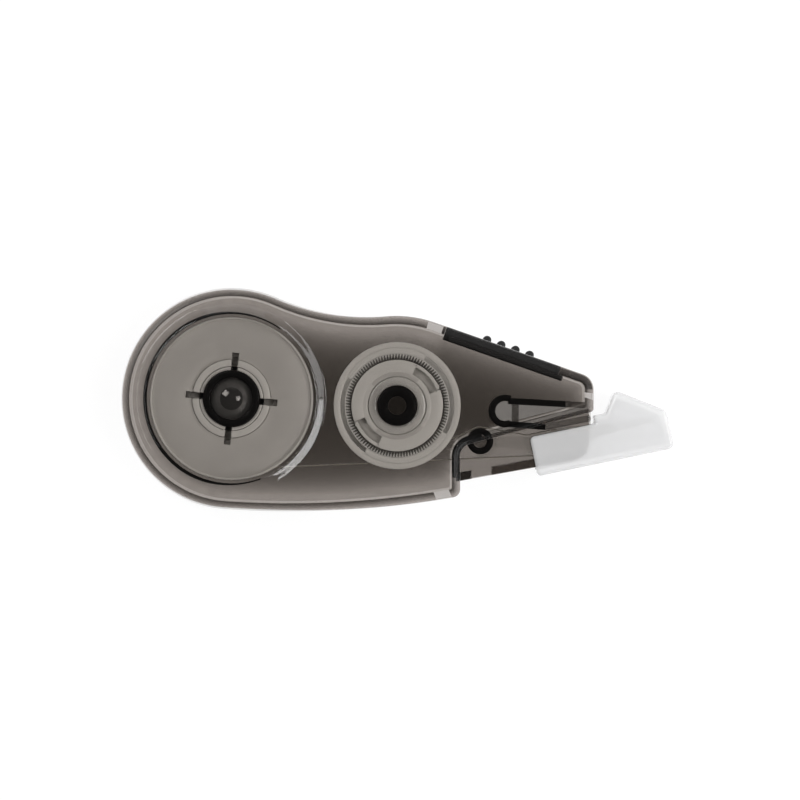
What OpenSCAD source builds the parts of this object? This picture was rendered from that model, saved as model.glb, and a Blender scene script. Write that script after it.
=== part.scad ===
// Correction tape dispenser: a see-through case with two geared tape reels, an applicator head and a cap.
// It lies on its flat back: +X runs to the applicator, +Y to the grip, +Z through the thickness.
// The origin is on the supply reel's axis, on the resting face. All sizes are in millimetres.

/* [Case] */
// Thickness of the case, without the raised dish
case_t = 13; // [12.8:0.1:15]
// Thickness of the outer walls
wall = 1.2; // [1:0.05:1.25]
// Rounding of the outer edges
edge_r = 1; // [0.4:0.1:1.1]
// Outer radius of the round reel end
reel_end_r = 16.6; // [16.4:0.1:18]
// Radius of the long bottom curve
belly_r = 141; // [120:1:170]
// Distance from the supply axis to the lowest point of the bottom curve
belly_x = 8.7; // [6:0.1:11]
// Radius of the hollow curve between reel end and hump
waist_r = 34; // [28:1:40]
// Height of the hump above the supply axis
hump_y = 12.4; // [12.2:0.1:13]
// Radius of the hump
hump_r = 18; // [14:0.5:20]
// Fall of the grip edge towards the nose, in degrees
grip_angle = 19.3; // [18.8:0.1:19.8]
// Distance from the supply axis to the nose wall
nose_x = 54.15; // [53.6:0.05:54.6]
// Height at which the nose corner starts
nose_top_y = 1.39; // [1.1:0.05:1.7]
// Radius of the nose corner
nose_r = 2.4; // [2:0.1:2.8]
// Height of the foot of the nose wall
nose_foot_y = -1.9; // [-2.1:0.05:-1.8]
// Height of the dish raised over the supply reel
dish_h = 0.8; // [0.4:0.1:1.2]
// Width of the rim that the dish leaves at the reel end
dish_rim = 3.1; // [2.8:0.1:3.4]

/* [Neck] */
// Distance from the supply axis to the step where the neck starts
step_x = 34.2; // [33.9:0.05:34.6]
// Rise of the line between body and neck, in degrees
divide_angle = 14.8; // [14.4:0.1:15.2]
// Depth of the step on each side
neck_step = 1.5; // [1.4:0.05:1.6]
// Thickness of the neck's two cheeks
neck_wall = 0.8; // [0.6:0.05:0.85]
// Thickness of the neck's floor
neck_floor = 1.3; // [1:0.1:1.4]
// Depth of the neck's floor below the supply axis at the step
neck_y = 12.3; // [12.1:0.05:12.4]
// Rise of the neck's floor, in degrees
neck_angle = 10.2; // [9.8:0.1:10.6]
// Distance from the supply axis to the neck's mouth
neck_end_x = 53.7; // [53:0.1:54]

/* [Reels] */
// Teeth on the supply gear
supply_teeth = 36; // [35:1:36]
// Teeth on the take-up gear
take_up_teeth = 26; // [25:1:26]
// Slope of the line from the supply axis down to the take-up axis, in degrees
reel_slope = 2.4; // [2:0.1:2.8]
// Thickness of the gears
gear_t = 1.6; // [1.2:0.1:1.65]
// Width of the tape
tape_w = 4.2; // [4:0.05:4.25]
// Thickness at which the tape's two runs are made
tape_t = 0.15; // [0.1:0.01:0.18]
// Outer radius of the wound tape
roll_r = 10.4; // [9:0.1:10.6]
// Outer radius of the supply reel's two discs
supply_disc_r = 12.2; // [11.8:0.05:12.4]
// Outer radius of the take-up reel's two flanges
take_up_r = 9.5; // [9.2:0.05:9.6]
// Outer radius of the supply axle
supply_axle_r = 4.2; // [4.1:0.01:4.25]
// Bore of the supply axle
supply_axle_bore = 3.15; // [3:0.05:3.3]
// Outer radius of the take-up axle
take_up_axle_r = 3; // [2.8:0.05:3.1]
// Bore of the take-up axle
take_up_axle_bore = 1.35; // [1.2:0.05:1.5]
// Teeth of the ratchet ring
ratchet_teeth = 108; // [96:1:112]

/* [Grip] */
// Length of the grip pad
pad_len = 18; // [17:0.1:18.5]
// Width of the grip pad
pad_w = 7; // [6:0.1:7.4]
// Radius of the grip's nubs
nub_r = 0.9; // [0.6:0.05:1]
// Spacing of the nubs
nub_pitch = 2.25; // [2.1:0.05:2.5]
// Number of nubs
nub_count = 4; // [3:1:5]

/* [Cap] */
// Room between the applicator's tip and the cap's end wall
tip_gap = 1.07; // [0.8:0.01:1.5]
// Thickness of the cap's walls
cap_wall = 1; // [0.8:0.05:1.05]
// Rise of the cap's pull, in degrees
pull_angle = 11.74; // [11.4:0.02:12]
// Length of the applicator head
head_len = 19.6; // [18.5:0.1:19.8]

/* [Fits] */
// Radial clearance of parts that turn on one another
turn_fit = 0.06; // [0.03:0.01:0.08]
// Gap between fixed pieces that lie side by side
seat_gap = 0.05; // [0.03:0.01:0.08]
// Gap between the cap and what it slides over
cap_gap = 0.2; // [0.15:0.01:0.22]
// Gap between turning pieces and fixed faces
run_gap = 0.3; // [0.2:0.02:0.32]
// End play of the reels on their thrust faces
thrust_gap = 0.1; // [0.05:0.01:0.15]
// Gap between the ratchet's teeth and the pawls
pawl_gap = 0.12; // [0.1:0.01:0.2]
// Play on each flank of the gear teeth
backlash = 0.12; // [0.1:0.01:0.16]
// Gap between the supply gear's teeth and the case
gear_clear = 0.44; // [0.4:0.01:0.6]

/* [Hidden] */
$fn = 64;
eps = 0.01;
past = 1;
smoke = [0.42, 0.39, 0.37, 0.55];
white = [0.93, 0.93, 0.9];
milky = [0.92, 0.93, 0.93, 0.7];
film = [0.86, 0.87, 0.85];

// Heights of the layers, from the resting face up
split_z = case_t / 2;
gear_z = neck_step + neck_wall + run_gap;
gear_top = gear_z + gear_t;
tape_z = gear_top + 1.3;
tape_top = tape_z + tape_w;
disc_t = 0.8;
back_disc_z = tape_z - 0.25 - disc_t;
front_disc_z = tape_top + 0.25;
front_disc_top = front_disc_z + disc_t;
neck_low = neck_step + neck_wall;
neck_high = case_t - neck_low;
axle_top = case_t - wall - run_gap;

// Gears: the supply gear fills the reel end, and its teeth set the distance of the reels
tooth_tip = 0.7;
tooth_root = 0.95;
gear_step = 2;
gear_module = (reel_end_r - wall - gear_clear) / (supply_teeth / 2 + tooth_tip);
// Places of the take-up reel and of the guide post
reel_gap = gear_module * (supply_teeth + take_up_teeth) / 2;
take_up = reel_gap * [cos(reel_slope), -sin(reel_slope)];
post_r = 1.95;
post_bore = 1;
post_x = step_x + 3;
post = [post_x, divide_y(post_x)];

// Outline of the case: small radii that the walls share
heel_r = 1.2;
foot_r = 0.6;
step_r = 2;
least_r = 0.3;
arc_steps = 5;
reel_steps = 36;

// Radii of the dish and of the reels' hubs, seats and windings
dish_r = reel_end_r - dish_rim;
hub_r = supply_axle_r + turn_fit + 0.5;
core_r = 5.85;
core_seat_r = 6.4;
ratchet_r = 7;
ratchet_root_r = 7.5;
winding_core_r = 7.5;
winding_r = 7.85;
tape_off = 0.1 + tape_t / 2;

// Grip pad and its slot
pad_from = 3.5;
pad_lip = 0.8;
pad_lip_t = 0.8;
nub_first = 4.95;
nub_end = 0.5;

// Rib around the latch slot in the nose
latch = [40.95, -1.85];
latch_r = 2.45;
latch_bore = 1.5;
latch_arm_x = nose_x - wall - 2 * seat_gap;
latch_tip = [nose_x - 0.85, nose_foot_y - 0.95];
latch_tip_r = 0.45;

// Cap and head, in the frame of the pull: u along the pull, v across it
pull_root = [44, -7];
cap_start = 0.8;
cap_floor = -4.86;
skirt_top = 1.1;
skirt_end = 10.8;
hood_start = 12.7;
hood_peak = [14.7, 5.37];
hood_end_v = 0.89;
notch_v = 2.3;
cap_side = 0.1;
cap_end = head_len + tip_gap + cap_wall;
cap_slot_low = neck_step - cap_gap;
cap_slot_high = case_t - neck_step + cap_gap;
head_root_v = [-1.5, 1.3];
head_block = 5;
head_knee = 10;
head_knee_v = [-0.7, 0.55];
head_tip_half = 0.16;

function unit(v) = v / norm(v);
function turned(v, a) = [v.x * cos(a) - v.y * sin(a), v.x * sin(a) + v.y * cos(a)];
function arc(c, r, a0, a1, n) = [for (i = [0:n]) c + r * [cos(a0 + (a1 - a0) * i / n), sin(a0 + (a1 - a0) * i / n)]];
function angle_of(v) = atan2(v.y, v.x);
// Point that lies at distance ra from a and rb from b, on the left of the line from a to b
function apex(a, ra, b, rb) =
    let (d = norm(b - a), x = (d * d + ra * ra - rb * rb) / (2 * d), y = sqrt(ra * ra - x * x), e = unit(b - a))
    a + x * e + y * [-e.y, e.x];
// Height of the line between body and neck, and of the neck's underside
function divide_y(x) = nose_foot_y - (nose_x - x) * tan(divide_angle);
function neck_line(x) = -neck_y + (x - step_x) * tan(neck_angle);
// A point of the case from its place in the frame of the pull
function pulled(u, v) = pull_root + turned([u, v], pull_angle);

// Outline of the case's body, moved inwards by d: nose, hump, waist, reel end, belly, heel, step and foot
function body_outline(d) =
    let (
        nose_c = [nose_x - nose_r, nose_top_y],
        grip_n = [sin(grip_angle), cos(grip_angle)],
        grip_reach = nose_c * grip_n + nose_r,
        hump_x = (grip_reach - hump_r - (hump_y - hump_r) * grip_n.y) / grip_n.x,
        hump_c = [hump_x, hump_y - hump_r],
        waist_c = apex([0, 0], reel_end_r + waist_r, hump_c, hump_r + waist_r),
        belly_c = [belly_x, sqrt((belly_r - reel_end_r) ^ 2 - belly_x ^ 2)],
        heel = max(heel_r - d, least_r),
        heel_x = step_x - d - heel,
        heel_c = [heel_x, belly_c.y - sqrt((belly_r - d - heel) ^ 2 - (heel_x - belly_c.x) ^ 2)],
        step = step_r + d,
        step_cx = step_x - d + step,
        step_c = [step_cx, divide_y(step_cx) + (d - step) / cos(divide_angle)],
        foot = max(foot_r - d, least_r),
        foot_x = nose_x - d - foot,
        foot_c = [foot_x, divide_y(foot_x) + (d + foot) / cos(divide_angle)],
        waist_a = angle_of(waist_c),
        belly_a = angle_of(-belly_c),
        heel_a = angle_of(heel_c - belly_c)
    )
    concat(
        arc(nose_c, nose_r - d, 0, 90 - grip_angle, arc_steps),
        arc(hump_c, hump_r - d, 90 - grip_angle, angle_of(waist_c - hump_c), arc_steps),
        arc(waist_c, waist_r + d, angle_of(hump_c - waist_c), waist_a - 180, arc_steps),
        arc([0, 0], reel_end_r - d, waist_a, belly_a + 360, reel_steps),
        arc(belly_c, belly_r - d, belly_a, heel_a, arc_steps),
        arc(heel_c, heel, heel_a, 0, arc_steps),
        arc(step_c, step, 180, 90 + divide_angle, arc_steps),
        arc(foot_c, foot, divide_angle - 90, 0, arc_steps)
    );

// Corners [x, y, r] moved inwards by d, counter-clockwise, each keeping its rounding
function inset(c, d) = [for (i = [0:len(c) - 1]) let (
        n = len(c),
        p = [c[i].x, c[i].y],
        q = c[(i + n - 1) % n],
        s = c[(i + 1) % n],
        e0 = unit(p - [q.x, q.y]),
        e1 = unit([s.x, s.y] - p),
        m = [e0.y + e1.y, -e0.x - e1.x] / (1 + e0 * e1),
        bend = sign(e0.x * e1.y - e0.y * e1.x),
        m_at = p - d * m
    ) [m_at.x, m_at.y, c[i].z == 0 ? 0 : max(c[i].z - bend * d, 0.1)]];
// Corners [x, y, r] drawn as points, with an arc at every rounded corner
function rounded(c, steps = 5) = [for (i = [0:len(c) - 1]) let (
        n = len(c),
        p = [c[i].x, c[i].y],
        q = c[(i + n - 1) % n],
        s = c[(i + 1) % n],
        u = unit([q.x, q.y] - p),
        v = unit([s.x, s.y] - p),
        half = acos(u * v) / 2,
        centre = p + unit(u + v) * c[i].z / sin(half),
        from = p + u * c[i].z / tan(half) - centre,
        sweep = (180 - 2 * half) * sign(u.y * v.x - u.x * v.y)
    ) each c[i].z == 0 ? [p] : [for (k = [0:steps]) centre + turned(from, sweep * k / steps)]];
// A strip of the given thickness along open points
function strip(p, t) =
    let (n = len(p), side = [for (i = [0:n - 1]) let (
        e0 = unit(p[max(i, 1)] - p[max(i, 1) - 1]),
        e1 = unit(p[min(i + 1, n - 1)] - p[min(i + 1, n - 1) - 1])
    ) [-e0.y - e1.y, e0.x + e1.x] / (1 + e0 * e1)])
    concat([for (i = [0:n - 1]) p[i] + side[i] * t / 2], [for (i = [n - 1:-1:0]) p[i] - side[i] * t / 2]);

// Corners of the neck's side view, from the step to the mouth
neck_corners = [
    [step_x - wall / 2, neck_line(step_x - wall / 2), 0],
    [neck_end_x, neck_line(neck_end_x), 3],
    [neck_end_x, divide_y(neck_end_x) + wall / 2, 0],
    [step_x - wall / 2, divide_y(step_x - wall / 2) + wall / 2, 0]
];
// Corners of the cap's side view in the frame of the pull
cap_corners = [
    [cap_start, cap_floor, 0.6],
    [cap_end, cap_floor, 1],
    [cap_end - 0.14, hood_end_v, 1.2],
    [hood_peak.x, hood_peak.y, 0.8],
    [hood_start, notch_v, 0.5],
    [skirt_end, notch_v, 0.3],
    [skirt_end, skirt_top, 0.3],
    [cap_start, skirt_top, 0.7]
];

// A solid through rings of equally many points, each ring [points, z], closed by its first and last ring
module loft(rings) {
    n = len(rings[0][0]);
    last = len(rings) - 1;
    points = [for (ring = rings) for (p = ring[0]) [p.x, p.y, ring[1]]];
    sides = [for (k = [0:last - 1]) for (i = [0:n - 1]) let (j = (i + 1) % n)
        each [[k * n + i, (k + 1) * n + i, (k + 1) * n + j], [k * n + i, (k + 1) * n + j, k * n + j]]];
    ends = [[for (i = [0:n - 1]) i], [for (i = [n - 1:-1:0]) last * n + i]];
    polyhedron(points = points, faces = concat(sides, ends));
}

// Insets and heights that round an edge of radius r off, as steps of a quarter circle
function rounding(r, steps = 4) = [for (k = [0:steps]) [r * (1 - cos(90 * k / steps)), r * sin(90 * k / steps)]];

module prism(points, z0, z1) {
    translate([0, 0, z0]) linear_extrude(z1 - z0) polygon(points);
}

module tube(r, bore, z0, z1) {
    difference() {
        translate([0, 0, z0]) cylinder(r = r, h = z1 - z0);
        translate([0, 0, z0 - past]) cylinder(r = bore, h = z1 - z0 + 2 * past);
    }
}

// Radial bars that cut the clutch slots, turned a little as the reel stands
module clutch_slots(r, z0, z1) {
    for (k = [0:3])
        rotate(90 * k - 5.5) translate([3, -0.4, z0]) cube([r - 3, 0.8, z1 - z0]);
}

// Frame of the grip edge: x from the nose corner up the edge, y into the case, z from mid thickness
module on_grip() {
    translate([nose_x - nose_r, nose_top_y, split_z])
        rotate(90 - grip_angle) translate([nose_r, 0, 0]) rotate(90) children();
}

module at_take_up() {
    translate([take_up.x, take_up.y, 0]) children();
}

module on_pull() {
    translate([pull_root.x, pull_root.y, 0]) rotate(pull_angle) children();
}

// One half of the body: a tray with a rounded outer edge, cut off flat at the split
module body_tray() {
    below = split_z - 2 * past;
    reach = reel_end_r + past;
    difference() {
        loft(concat([[body_outline(0), split_z - past]],
            [for (s = rounding(edge_r, 3)) [body_outline(s.x), case_t - edge_r + s.y]]));
        prism(body_outline(wall), below, case_t - wall);
        translate([-reach, -reach, below]) cube([reach + nose_x + past, 2 * reach, split_z - below]);
    }
}

// The neck's passage through one half
module neck_hollow() {
    left = step_x - wall - 0.5;
    mouth = neck_end_x + past;
    prism([
        [left, neck_line(left) + neck_floor],
        [mouth, neck_line(mouth) + neck_floor],
        [mouth, divide_y(mouth) - seat_gap],
        [latch_arm_x, divide_y(latch_arm_x) - seat_gap],
        [latch_arm_x, divide_y(latch_arm_x) + wall + 0.3],
        [left, divide_y(left) + wall + 0.3]
    ], split_z - past, neck_high);
}

// Windows through the edge wall, where the two halves snap together, and the slot of the grip pad
module edge_windows() {
    window_w = 6.6;
    on_grip() {
        translate([pad_from - seat_gap, -past, -pad_w / 2 - seat_gap])
            cube([pad_len + 2 * seat_gap, wall + 2 * past, pad_w + 2 * seat_gap]);
        translate([pad_from + pad_len + 0.5, -past, -window_w / 2]) cube([2.4, wall + 2 * past, window_w]);
    }
    translate([step_x - wall - 2.35, -belly_r, split_z - window_w / 2])
        cube([2.3, belly_r - neck_y - wall - 0.1, window_w]);
    translate([nose_x - 2 * wall, nose_foot_y + 1.7, split_z - window_w / 2]) cube([4 * wall, 1, window_w]);
    translate([step_x + 1.7, -neck_y - past, neck_low]) cube([3, neck_floor + 2 * past + 0.3, neck_high - neck_low]);
}

// Front half: raised dish, guard round the supply disc, boss over the ratchet and spigots in axle and post
module front_shell() {
    bevel = 0.7;
    spigot = 2.2;
    boss_bore = take_up_axle_r + 0.2;
    boss_t = 1;
    hollow_r = dish_r - bevel;
    guard_t = 0.35;
    guard_bore = hollow_r - 0.15;
    color(smoke) {
        difference() {
            union() {
                body_tray();
                prism(rounded(neck_corners), split_z, case_t - neck_step);
                rotate_extrude() polygon([[0, case_t - wall / 2], [dish_r + bevel, case_t - wall / 2],
                    [dish_r + bevel, case_t], [dish_r, case_t + dish_h], [0, case_t + dish_h]]);
            }
            neck_hollow();
            translate([0, 0, split_z]) cylinder(r = hollow_r, h = case_t + dish_h - wall - split_z);
            edge_windows();
        }
        tube(guard_bore + guard_t, guard_bore, front_disc_z - thrust_gap, case_t - wall + eps);
        at_take_up() {
            tube(boss_bore + boss_t, boss_bore, front_disc_top + 2 * seat_gap, case_t - wall + eps);
            translate([0, 0, axle_top - spigot])
                cylinder(r = take_up_axle_bore - seat_gap, h = case_t - wall + eps - axle_top + spigot);
        }
        translate([post.x, post.y, neck_high - spigot])
            cylinder(r = post_bore - seat_gap, h = spigot + neck_wall / 2);
    }
}

// Back half: axle tubes, guide post and the rib of the latch slot
module back_shell() {
    color(smoke) difference() {
        union() {
            difference() {
                translate([0, 0, case_t]) mirror([0, 0, 1]) difference() {
                    union() {
                        body_tray();
                        prism(rounded(neck_corners), split_z, case_t - neck_step);
                    }
                    neck_hollow();
                }
                edge_windows();
            }
            axle(supply_axle_r);
            at_take_up() axle(take_up_axle_r);
            translate([post.x, post.y, neck_low - eps]) cylinder(r = post_r, h = neck_high - neck_low - seat_gap);
            latch_rib();
        }
        translate([0, 0, wall]) cylinder(r = supply_axle_bore, h = case_t);
        at_take_up() translate([0, 0, wall]) cylinder(r = take_up_axle_bore, h = case_t);
        translate([post.x, post.y, neck_low]) cylinder(r = post_bore, h = case_t);
    }
}

// An axle with its thrust collar
module axle(r) {
    collar = 1.4;
    translate([0, 0, wall - eps]) {
        cylinder(r = r, h = axle_top - wall);
        cylinder(r = r + collar, h = gear_z - thrust_gap - wall);
    }
}

// Rib that runs round the end of the latch slot, with a fixed upper arm and a springy lower arm
module latch_rib() {
    top = neck_high - 2 * seat_gap;
    low = neck_low - eps;
    root = wall / 2;
    rib = latch_r - latch_bore;
    bend = [46.95, -3.8];
    arm_drop = 0.45;
    difference() {
        translate([latch.x, latch.y, root]) cylinder(r = latch_r, h = top - root);
        translate([latch.x, latch.y, root - past]) cylinder(r = latch_bore, h = case_t);
        translate([latch.x + 0.3, latch.y - latch_bore, root - past]) cube([latch_r, 2 * latch_bore, case_t]);
    }
    prism([[latch.x, latch.y + latch_bore - arm_drop], [latch_arm_x, latch.y + 0.4],
        [latch_arm_x, latch.y + 0.4 + rib], [latch.x, latch.y + latch_r - arm_drop]], root, top);
    prism([[latch.x, latch.y - latch_r], [bend.x, bend.y - 0.9], [latch_tip.x, latch_tip.y - latch_tip_r],
        [latch_tip.x, latch_tip.y + latch_tip_r], bend, [latch.x, latch.y - latch_bore]], low, top);
    translate([latch_tip.x, latch_tip.y, low]) cylinder(r = latch_tip_r, h = top - low);
    translate([latch.x + 1.05, latch.y - latch_bore - 0.3, root]) cube([1.05, 2 * latch_bore, 3]);
}

// Rubber grip let into the top edge: a plug in the slot, a lip behind the wall and nubs outside
module grip_pad() {
    color([0.1, 0.1, 0.1]) on_grip() {
        translate([pad_from, 0, -pad_w / 2]) cube([pad_len, wall + pad_lip_t, pad_w]);
        translate([pad_from - pad_lip, wall + seat_gap, -pad_w / 2 - pad_lip])
            cube([pad_len + 2 * pad_lip, pad_lip_t - seat_gap, pad_w + 2 * pad_lip]);
        for (k = [0:nub_count - 1])
            translate([pad_from + nub_first + nub_pitch * k, nub_r / 6, nub_end - pad_w / 2])
                cylinder(r = nub_r, h = pad_w - 2 * nub_end);
    }
}

// Domed plug in the hollow supply axle
module axle_pin() {
    dome_r = 4.2;
    dome_top = axle_top + 0.2;
    color([0.03, 0.03, 0.03]) intersection() {
        translate([0, 0, wall]) cylinder(r = supply_axle_bore - seat_gap, h = case_t);
        union() {
            translate([0, 0, dome_top - dome_r]) sphere(r = dome_r);
            cylinder(r = supply_axle_bore, h = dome_top - dome_r / 2);
        }
    }
}

// Points of a spur gear with stub teeth; the first tooth is centred on the +X axis
function gear_points(teeth) =
    let (
        r = gear_module * teeth / 2,
        tip = r + tooth_tip * gear_module,
        root = r - tooth_root * gear_module,
        half = gear_module * PI / 4 - backlash,
        half_tip = half - (tip - r) * tan(20),
        half_root = half + (r - root) * tan(20)
    )
    [for (k = [0:teeth - 1]) for (c = [[root, -half_root], [tip, -half_tip], [tip, half_tip], [root, half_root]])
        let (a = 360 * k / teeth + c[1] / c[0] * 180 / PI) c[0] * [cos(a), sin(a)]];

// Gear under the supply reel; its split hub grips the tape core and slips when the tape is held
module supply_gear() {
    hub_top = front_disc_top + 0.2;
    color([0.55, 0.53, 0.5, 0.5]) difference() {
        union() {
            rotate(-reel_slope) prism(gear_points(supply_teeth), gear_z, gear_top);
            translate([0, 0, gear_z]) cylinder(r = supply_disc_r - gear_step, h = back_disc_z - thrust_gap - gear_z);
            translate([0, 0, gear_z]) cylinder(r = hub_r, h = hub_top - gear_z);
        }
        cylinder(r = supply_axle_r + turn_fit, h = case_t);
        clutch_slots(hub_r + past, back_disc_z + disc_t, case_t);
    }
}

// Core that the tape is wound on, with the reel's back disc
module tape_core() {
    color(white) difference() {
        union() {
            translate([0, 0, back_disc_z]) cylinder(r = supply_disc_r, h = disc_t);
            translate([0, 0, back_disc_z]) cylinder(r = core_seat_r, h = front_disc_z - back_disc_z);
            translate([0, 0, back_disc_z]) cylinder(r = core_r, h = front_disc_top + 0.3 - back_disc_z);
        }
        cylinder(r = hub_r + turn_fit, h = case_t);
        clutch_slots(core_seat_r + past, front_disc_z - 1.2, case_t);
    }
}

// Front disc of the supply reel, with a bead round its rim
module supply_disc() {
    bead = 0.3;
    color(white) difference() {
        union() {
            translate([0, 0, front_disc_z]) cylinder(r = supply_disc_r, h = disc_t);
            tube(supply_disc_r, supply_disc_r - bead, front_disc_z, front_disc_top + bead);
        }
        cylinder(r = core_r + seat_gap, h = case_t);
        clutch_slots(core_seat_r + 0.5, front_disc_z - past, case_t);
    }
}

// The wound tape
module tape_roll() {
    color([0.97, 0.97, 0.96]) tube(roll_r, core_seat_r + seat_gap, tape_z, tape_top);
}

// Gear under the take-up reel, in mesh with the supply gear
module take_up_gear() {
    color([0.55, 0.53, 0.5, 0.5]) at_take_up() difference() {
        union() {
            rotate(180 - reel_slope + 180 / take_up_teeth) prism(gear_points(take_up_teeth), gear_z, gear_top);
            translate([0, 0, gear_z]) cylinder(r = take_up_r - gear_step, h = back_disc_z - gear_z);
        }
        cylinder(r = take_up_axle_r + turn_fit, h = case_t);
    }
}

// Take-up spool: back flange, bearing hub and the ring that the used film winds on
module take_up_spool() {
    color(white) at_take_up() difference() {
        union() {
            translate([0, 0, back_disc_z]) cylinder(r = take_up_r, h = disc_t);
            translate([0, 0, back_disc_z]) cylinder(r = take_up_axle_r + 1, h = front_disc_z - run_gap - back_disc_z);
            tube(winding_core_r, winding_core_r - 0.6, back_disc_z, front_disc_z);
        }
        cylinder(r = take_up_axle_r + turn_fit, h = case_t);
    }
}

// Saw teeth of the ratchet ring, pointing inwards
function ratchet_points() = [for (k = [0:ratchet_teeth - 1]) for (s = [[0, ratchet_r], [0.15, ratchet_root_r]])
    let (a = 360 * (k + s[0]) / ratchet_teeth) s[1] * [cos(a), sin(a)]];

// Part of a ring between two angles
function sector(r0, r1, a0, a1, n = 12) = concat(arc([0, 0], r1, a0, a1, n), arc([0, 0], r0, a1, a0, n));

// Front flange of the take-up reel, with the ratchet ring and two arc slots
module take_up_flange() {
    color(white) at_take_up() difference() {
        translate([0, 0, front_disc_z]) cylinder(r = take_up_r, h = disc_t);
        prism(ratchet_points(), front_disc_z - past, case_t);
        for (a = [[150, 235], [-30, 60]])
            prism(sector(ratchet_root_r + 0.35, ratchet_root_r + 1, a[0], a[1]), front_disc_z - past, case_t);
    }
}

// First turns of used film on the take-up spool
module take_up_winding() {
    color(film) at_take_up() tube(winding_r, winding_core_r + seat_gap, tape_z, tape_top);
}

// Disc with two springy arms that stop the take-up reel from turning back
module ratchet_pawl() {
    rim = ratchet_r - 0.25;
    arm = 0.5;
    low = front_disc_z + seat_gap;
    high = front_disc_top + seat_gap;
    color(white) at_take_up() difference() {
        union() {
            tube(rim, take_up_axle_r + seat_gap, low, high);
            for (a = [24, 204])
                prism(sector(rim - arm, ratchet_r - pawl_gap, a, a + 3), low, high);
        }
        for (a = [22, 202]) {
            prism(sector(rim - arm - 1.2, rim - arm, a, a + 42), low - past, case_t);
            prism(sector(rim - arm - 1.2, ratchet_r, a - 2, a + eps), low - past, case_t);
        }
    }
}

// Applicator: hook round the guide post, stem, block between the neck's cheeks, tape cheeks and thin tip
module applicator_head() {
    low = neck_low + seat_gap;
    high = neck_high - seat_gap;
    stem_top = tape_z - 0.5;
    cheek_t = 0.5;
    cheek_gap = 0.2;
    hook_r = post_r + seat_gap + 0.65;
    color(white) {
        difference() {
            union() {
                translate([post.x, post.y, low]) cylinder(r = hook_r, h = stem_top - low);
                prism([post + [0, -1], pulled(past, -1), pulled(past, 1), post + [0, 1]], low, stem_top);
            }
            translate([post.x, post.y, 0]) cylinder(r = post_r + seat_gap, h = case_t);
            translate([post.x - 2 * hook_r - 0.8, post.y - 2 * hook_r, 0]) cube([2 * hook_r, 4 * hook_r, case_t]);
        }
        on_pull() {
            prism([[0, head_root_v[0]], [head_block, head_root_v[0]], [head_block, head_root_v[1]],
                [0, head_root_v[1]]], low, high);
            prism([[head_block - past, head_root_v[0]], [head_block, head_root_v[0]], [head_knee, head_knee_v[0]],
                [head_len, -head_tip_half], [head_len, head_tip_half], [head_knee, head_knee_v[1]],
                [head_block, head_root_v[1]], [head_block - past, head_root_v[1]]],
                tape_z - cheek_gap, tape_top + cheek_gap);
            for (z = [tape_z - cheek_gap - cheek_t, tape_top + cheek_gap])
                prism(rounded([[head_block - past, head_root_v[0] - 0.4, 0], [head_block + 1.5, head_root_v[0] - 0.4, 1.5],
                    [head_len - 6, -0.75, 0.5], [head_len - 6, 0.6, 0.5], [head_block + 1.5, head_root_v[1] + 0.2, 1.5],
                    [head_block - past, head_root_v[1] + 0.2, 0]]), z, z + cheek_t);
        }
    }
}

// Angle at which a line from p touches a circle: side 1 is the circle's left as seen from p, -1 its right
function touch(p, c, r, side) = angle_of(p - c) - side * acos(r / norm(p - c));
// Rise of the line that passes below one circle and above the next
function crossing(c0, r0, c1, r1) = angle_of(c1 - c0) + asin((r0 + r1) / norm(c1 - c0));
function on_circle(c, r, a) = c + r * [cos(a), sin(a)];

// Loaded tape from the roll, under the post and along the head's underside to the tip
module tape_out_run() {
    heel = pulled(0.5, head_root_v[0] - tape_off);
    reach = roll_r + tape_off;
    color([0.97, 0.97, 0.96])
        prism(strip([on_circle([0, 0], reach, touch(heel, [0, 0], reach, 1)), heel,
            pulled(head_block, head_root_v[0] - tape_off), pulled(head_knee, head_knee_v[0] - tape_off),
            pulled(head_len, -head_tip_half - tape_off)], tape_t), tape_z, tape_top);
}

// Bare film from the tip, along the head's upper side and over the post to the take-up reel
module tape_back_run() {
    heel = pulled(0.5, head_root_v[1] + tape_off);
    reach = winding_r + tape_off;
    round_post = post_r + tape_off;
    rise = crossing(take_up, reach, post, round_post);
    color(film)
        prism(strip(concat([on_circle(take_up, reach, rise - 90)],
            arc(post, round_post, rise + 90, touch(heel, post, round_post, -1), arc_steps),
            [heel, pulled(head_block, head_root_v[1] + tape_off), pulled(head_knee, head_knee_v[1] + tape_off),
            pulled(head_len, head_tip_half + tape_off)]), tape_t), tape_z, tape_top);
}

// Push-on cap: a hood over the tip and a skirt, open above, that slides over the neck
module cap() {
    inner = inset(cap_corners, cap_wall);
    above = skirt_top + past;
    hollow = concat([[cap_start - past, cap_floor + cap_wall, 0]], [for (k = [1:4]) inner[k]],
        [[skirt_end, notch_v - cap_wall, 0], [skirt_end, above, 0], [cap_start - past, above, 0]]);
    color(milky) on_pull() difference() {
        prism(rounded(cap_corners), cap_side, case_t - cap_side);
        prism(rounded(hollow), cap_slot_low, cap_slot_high);
    }
}

front_shell();
back_shell();
grip_pad();
axle_pin();
supply_gear();
tape_core();
supply_disc();
tape_roll();
take_up_gear();
take_up_spool();
take_up_flange();
take_up_winding();
ratchet_pawl();
applicator_head();
tape_out_run();
tape_back_run();
cap();
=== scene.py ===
"""Looks of a correction tape dispenser: see-through case, two geared reels, applicator and cap.

Sizes are in millimetres, in the frame of the solids: the origin is on the supply reel's axis on the
resting face, +X runs to the applicator, +Y to the grip and +Z through the thickness.
"""

import logging
import math
from dataclasses import dataclass
from enum import Enum, IntEnum

import bmesh
import bpy
import numpy as np
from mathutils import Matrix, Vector
from mathutils.geometry import delaunay_2d_cdt


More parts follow.
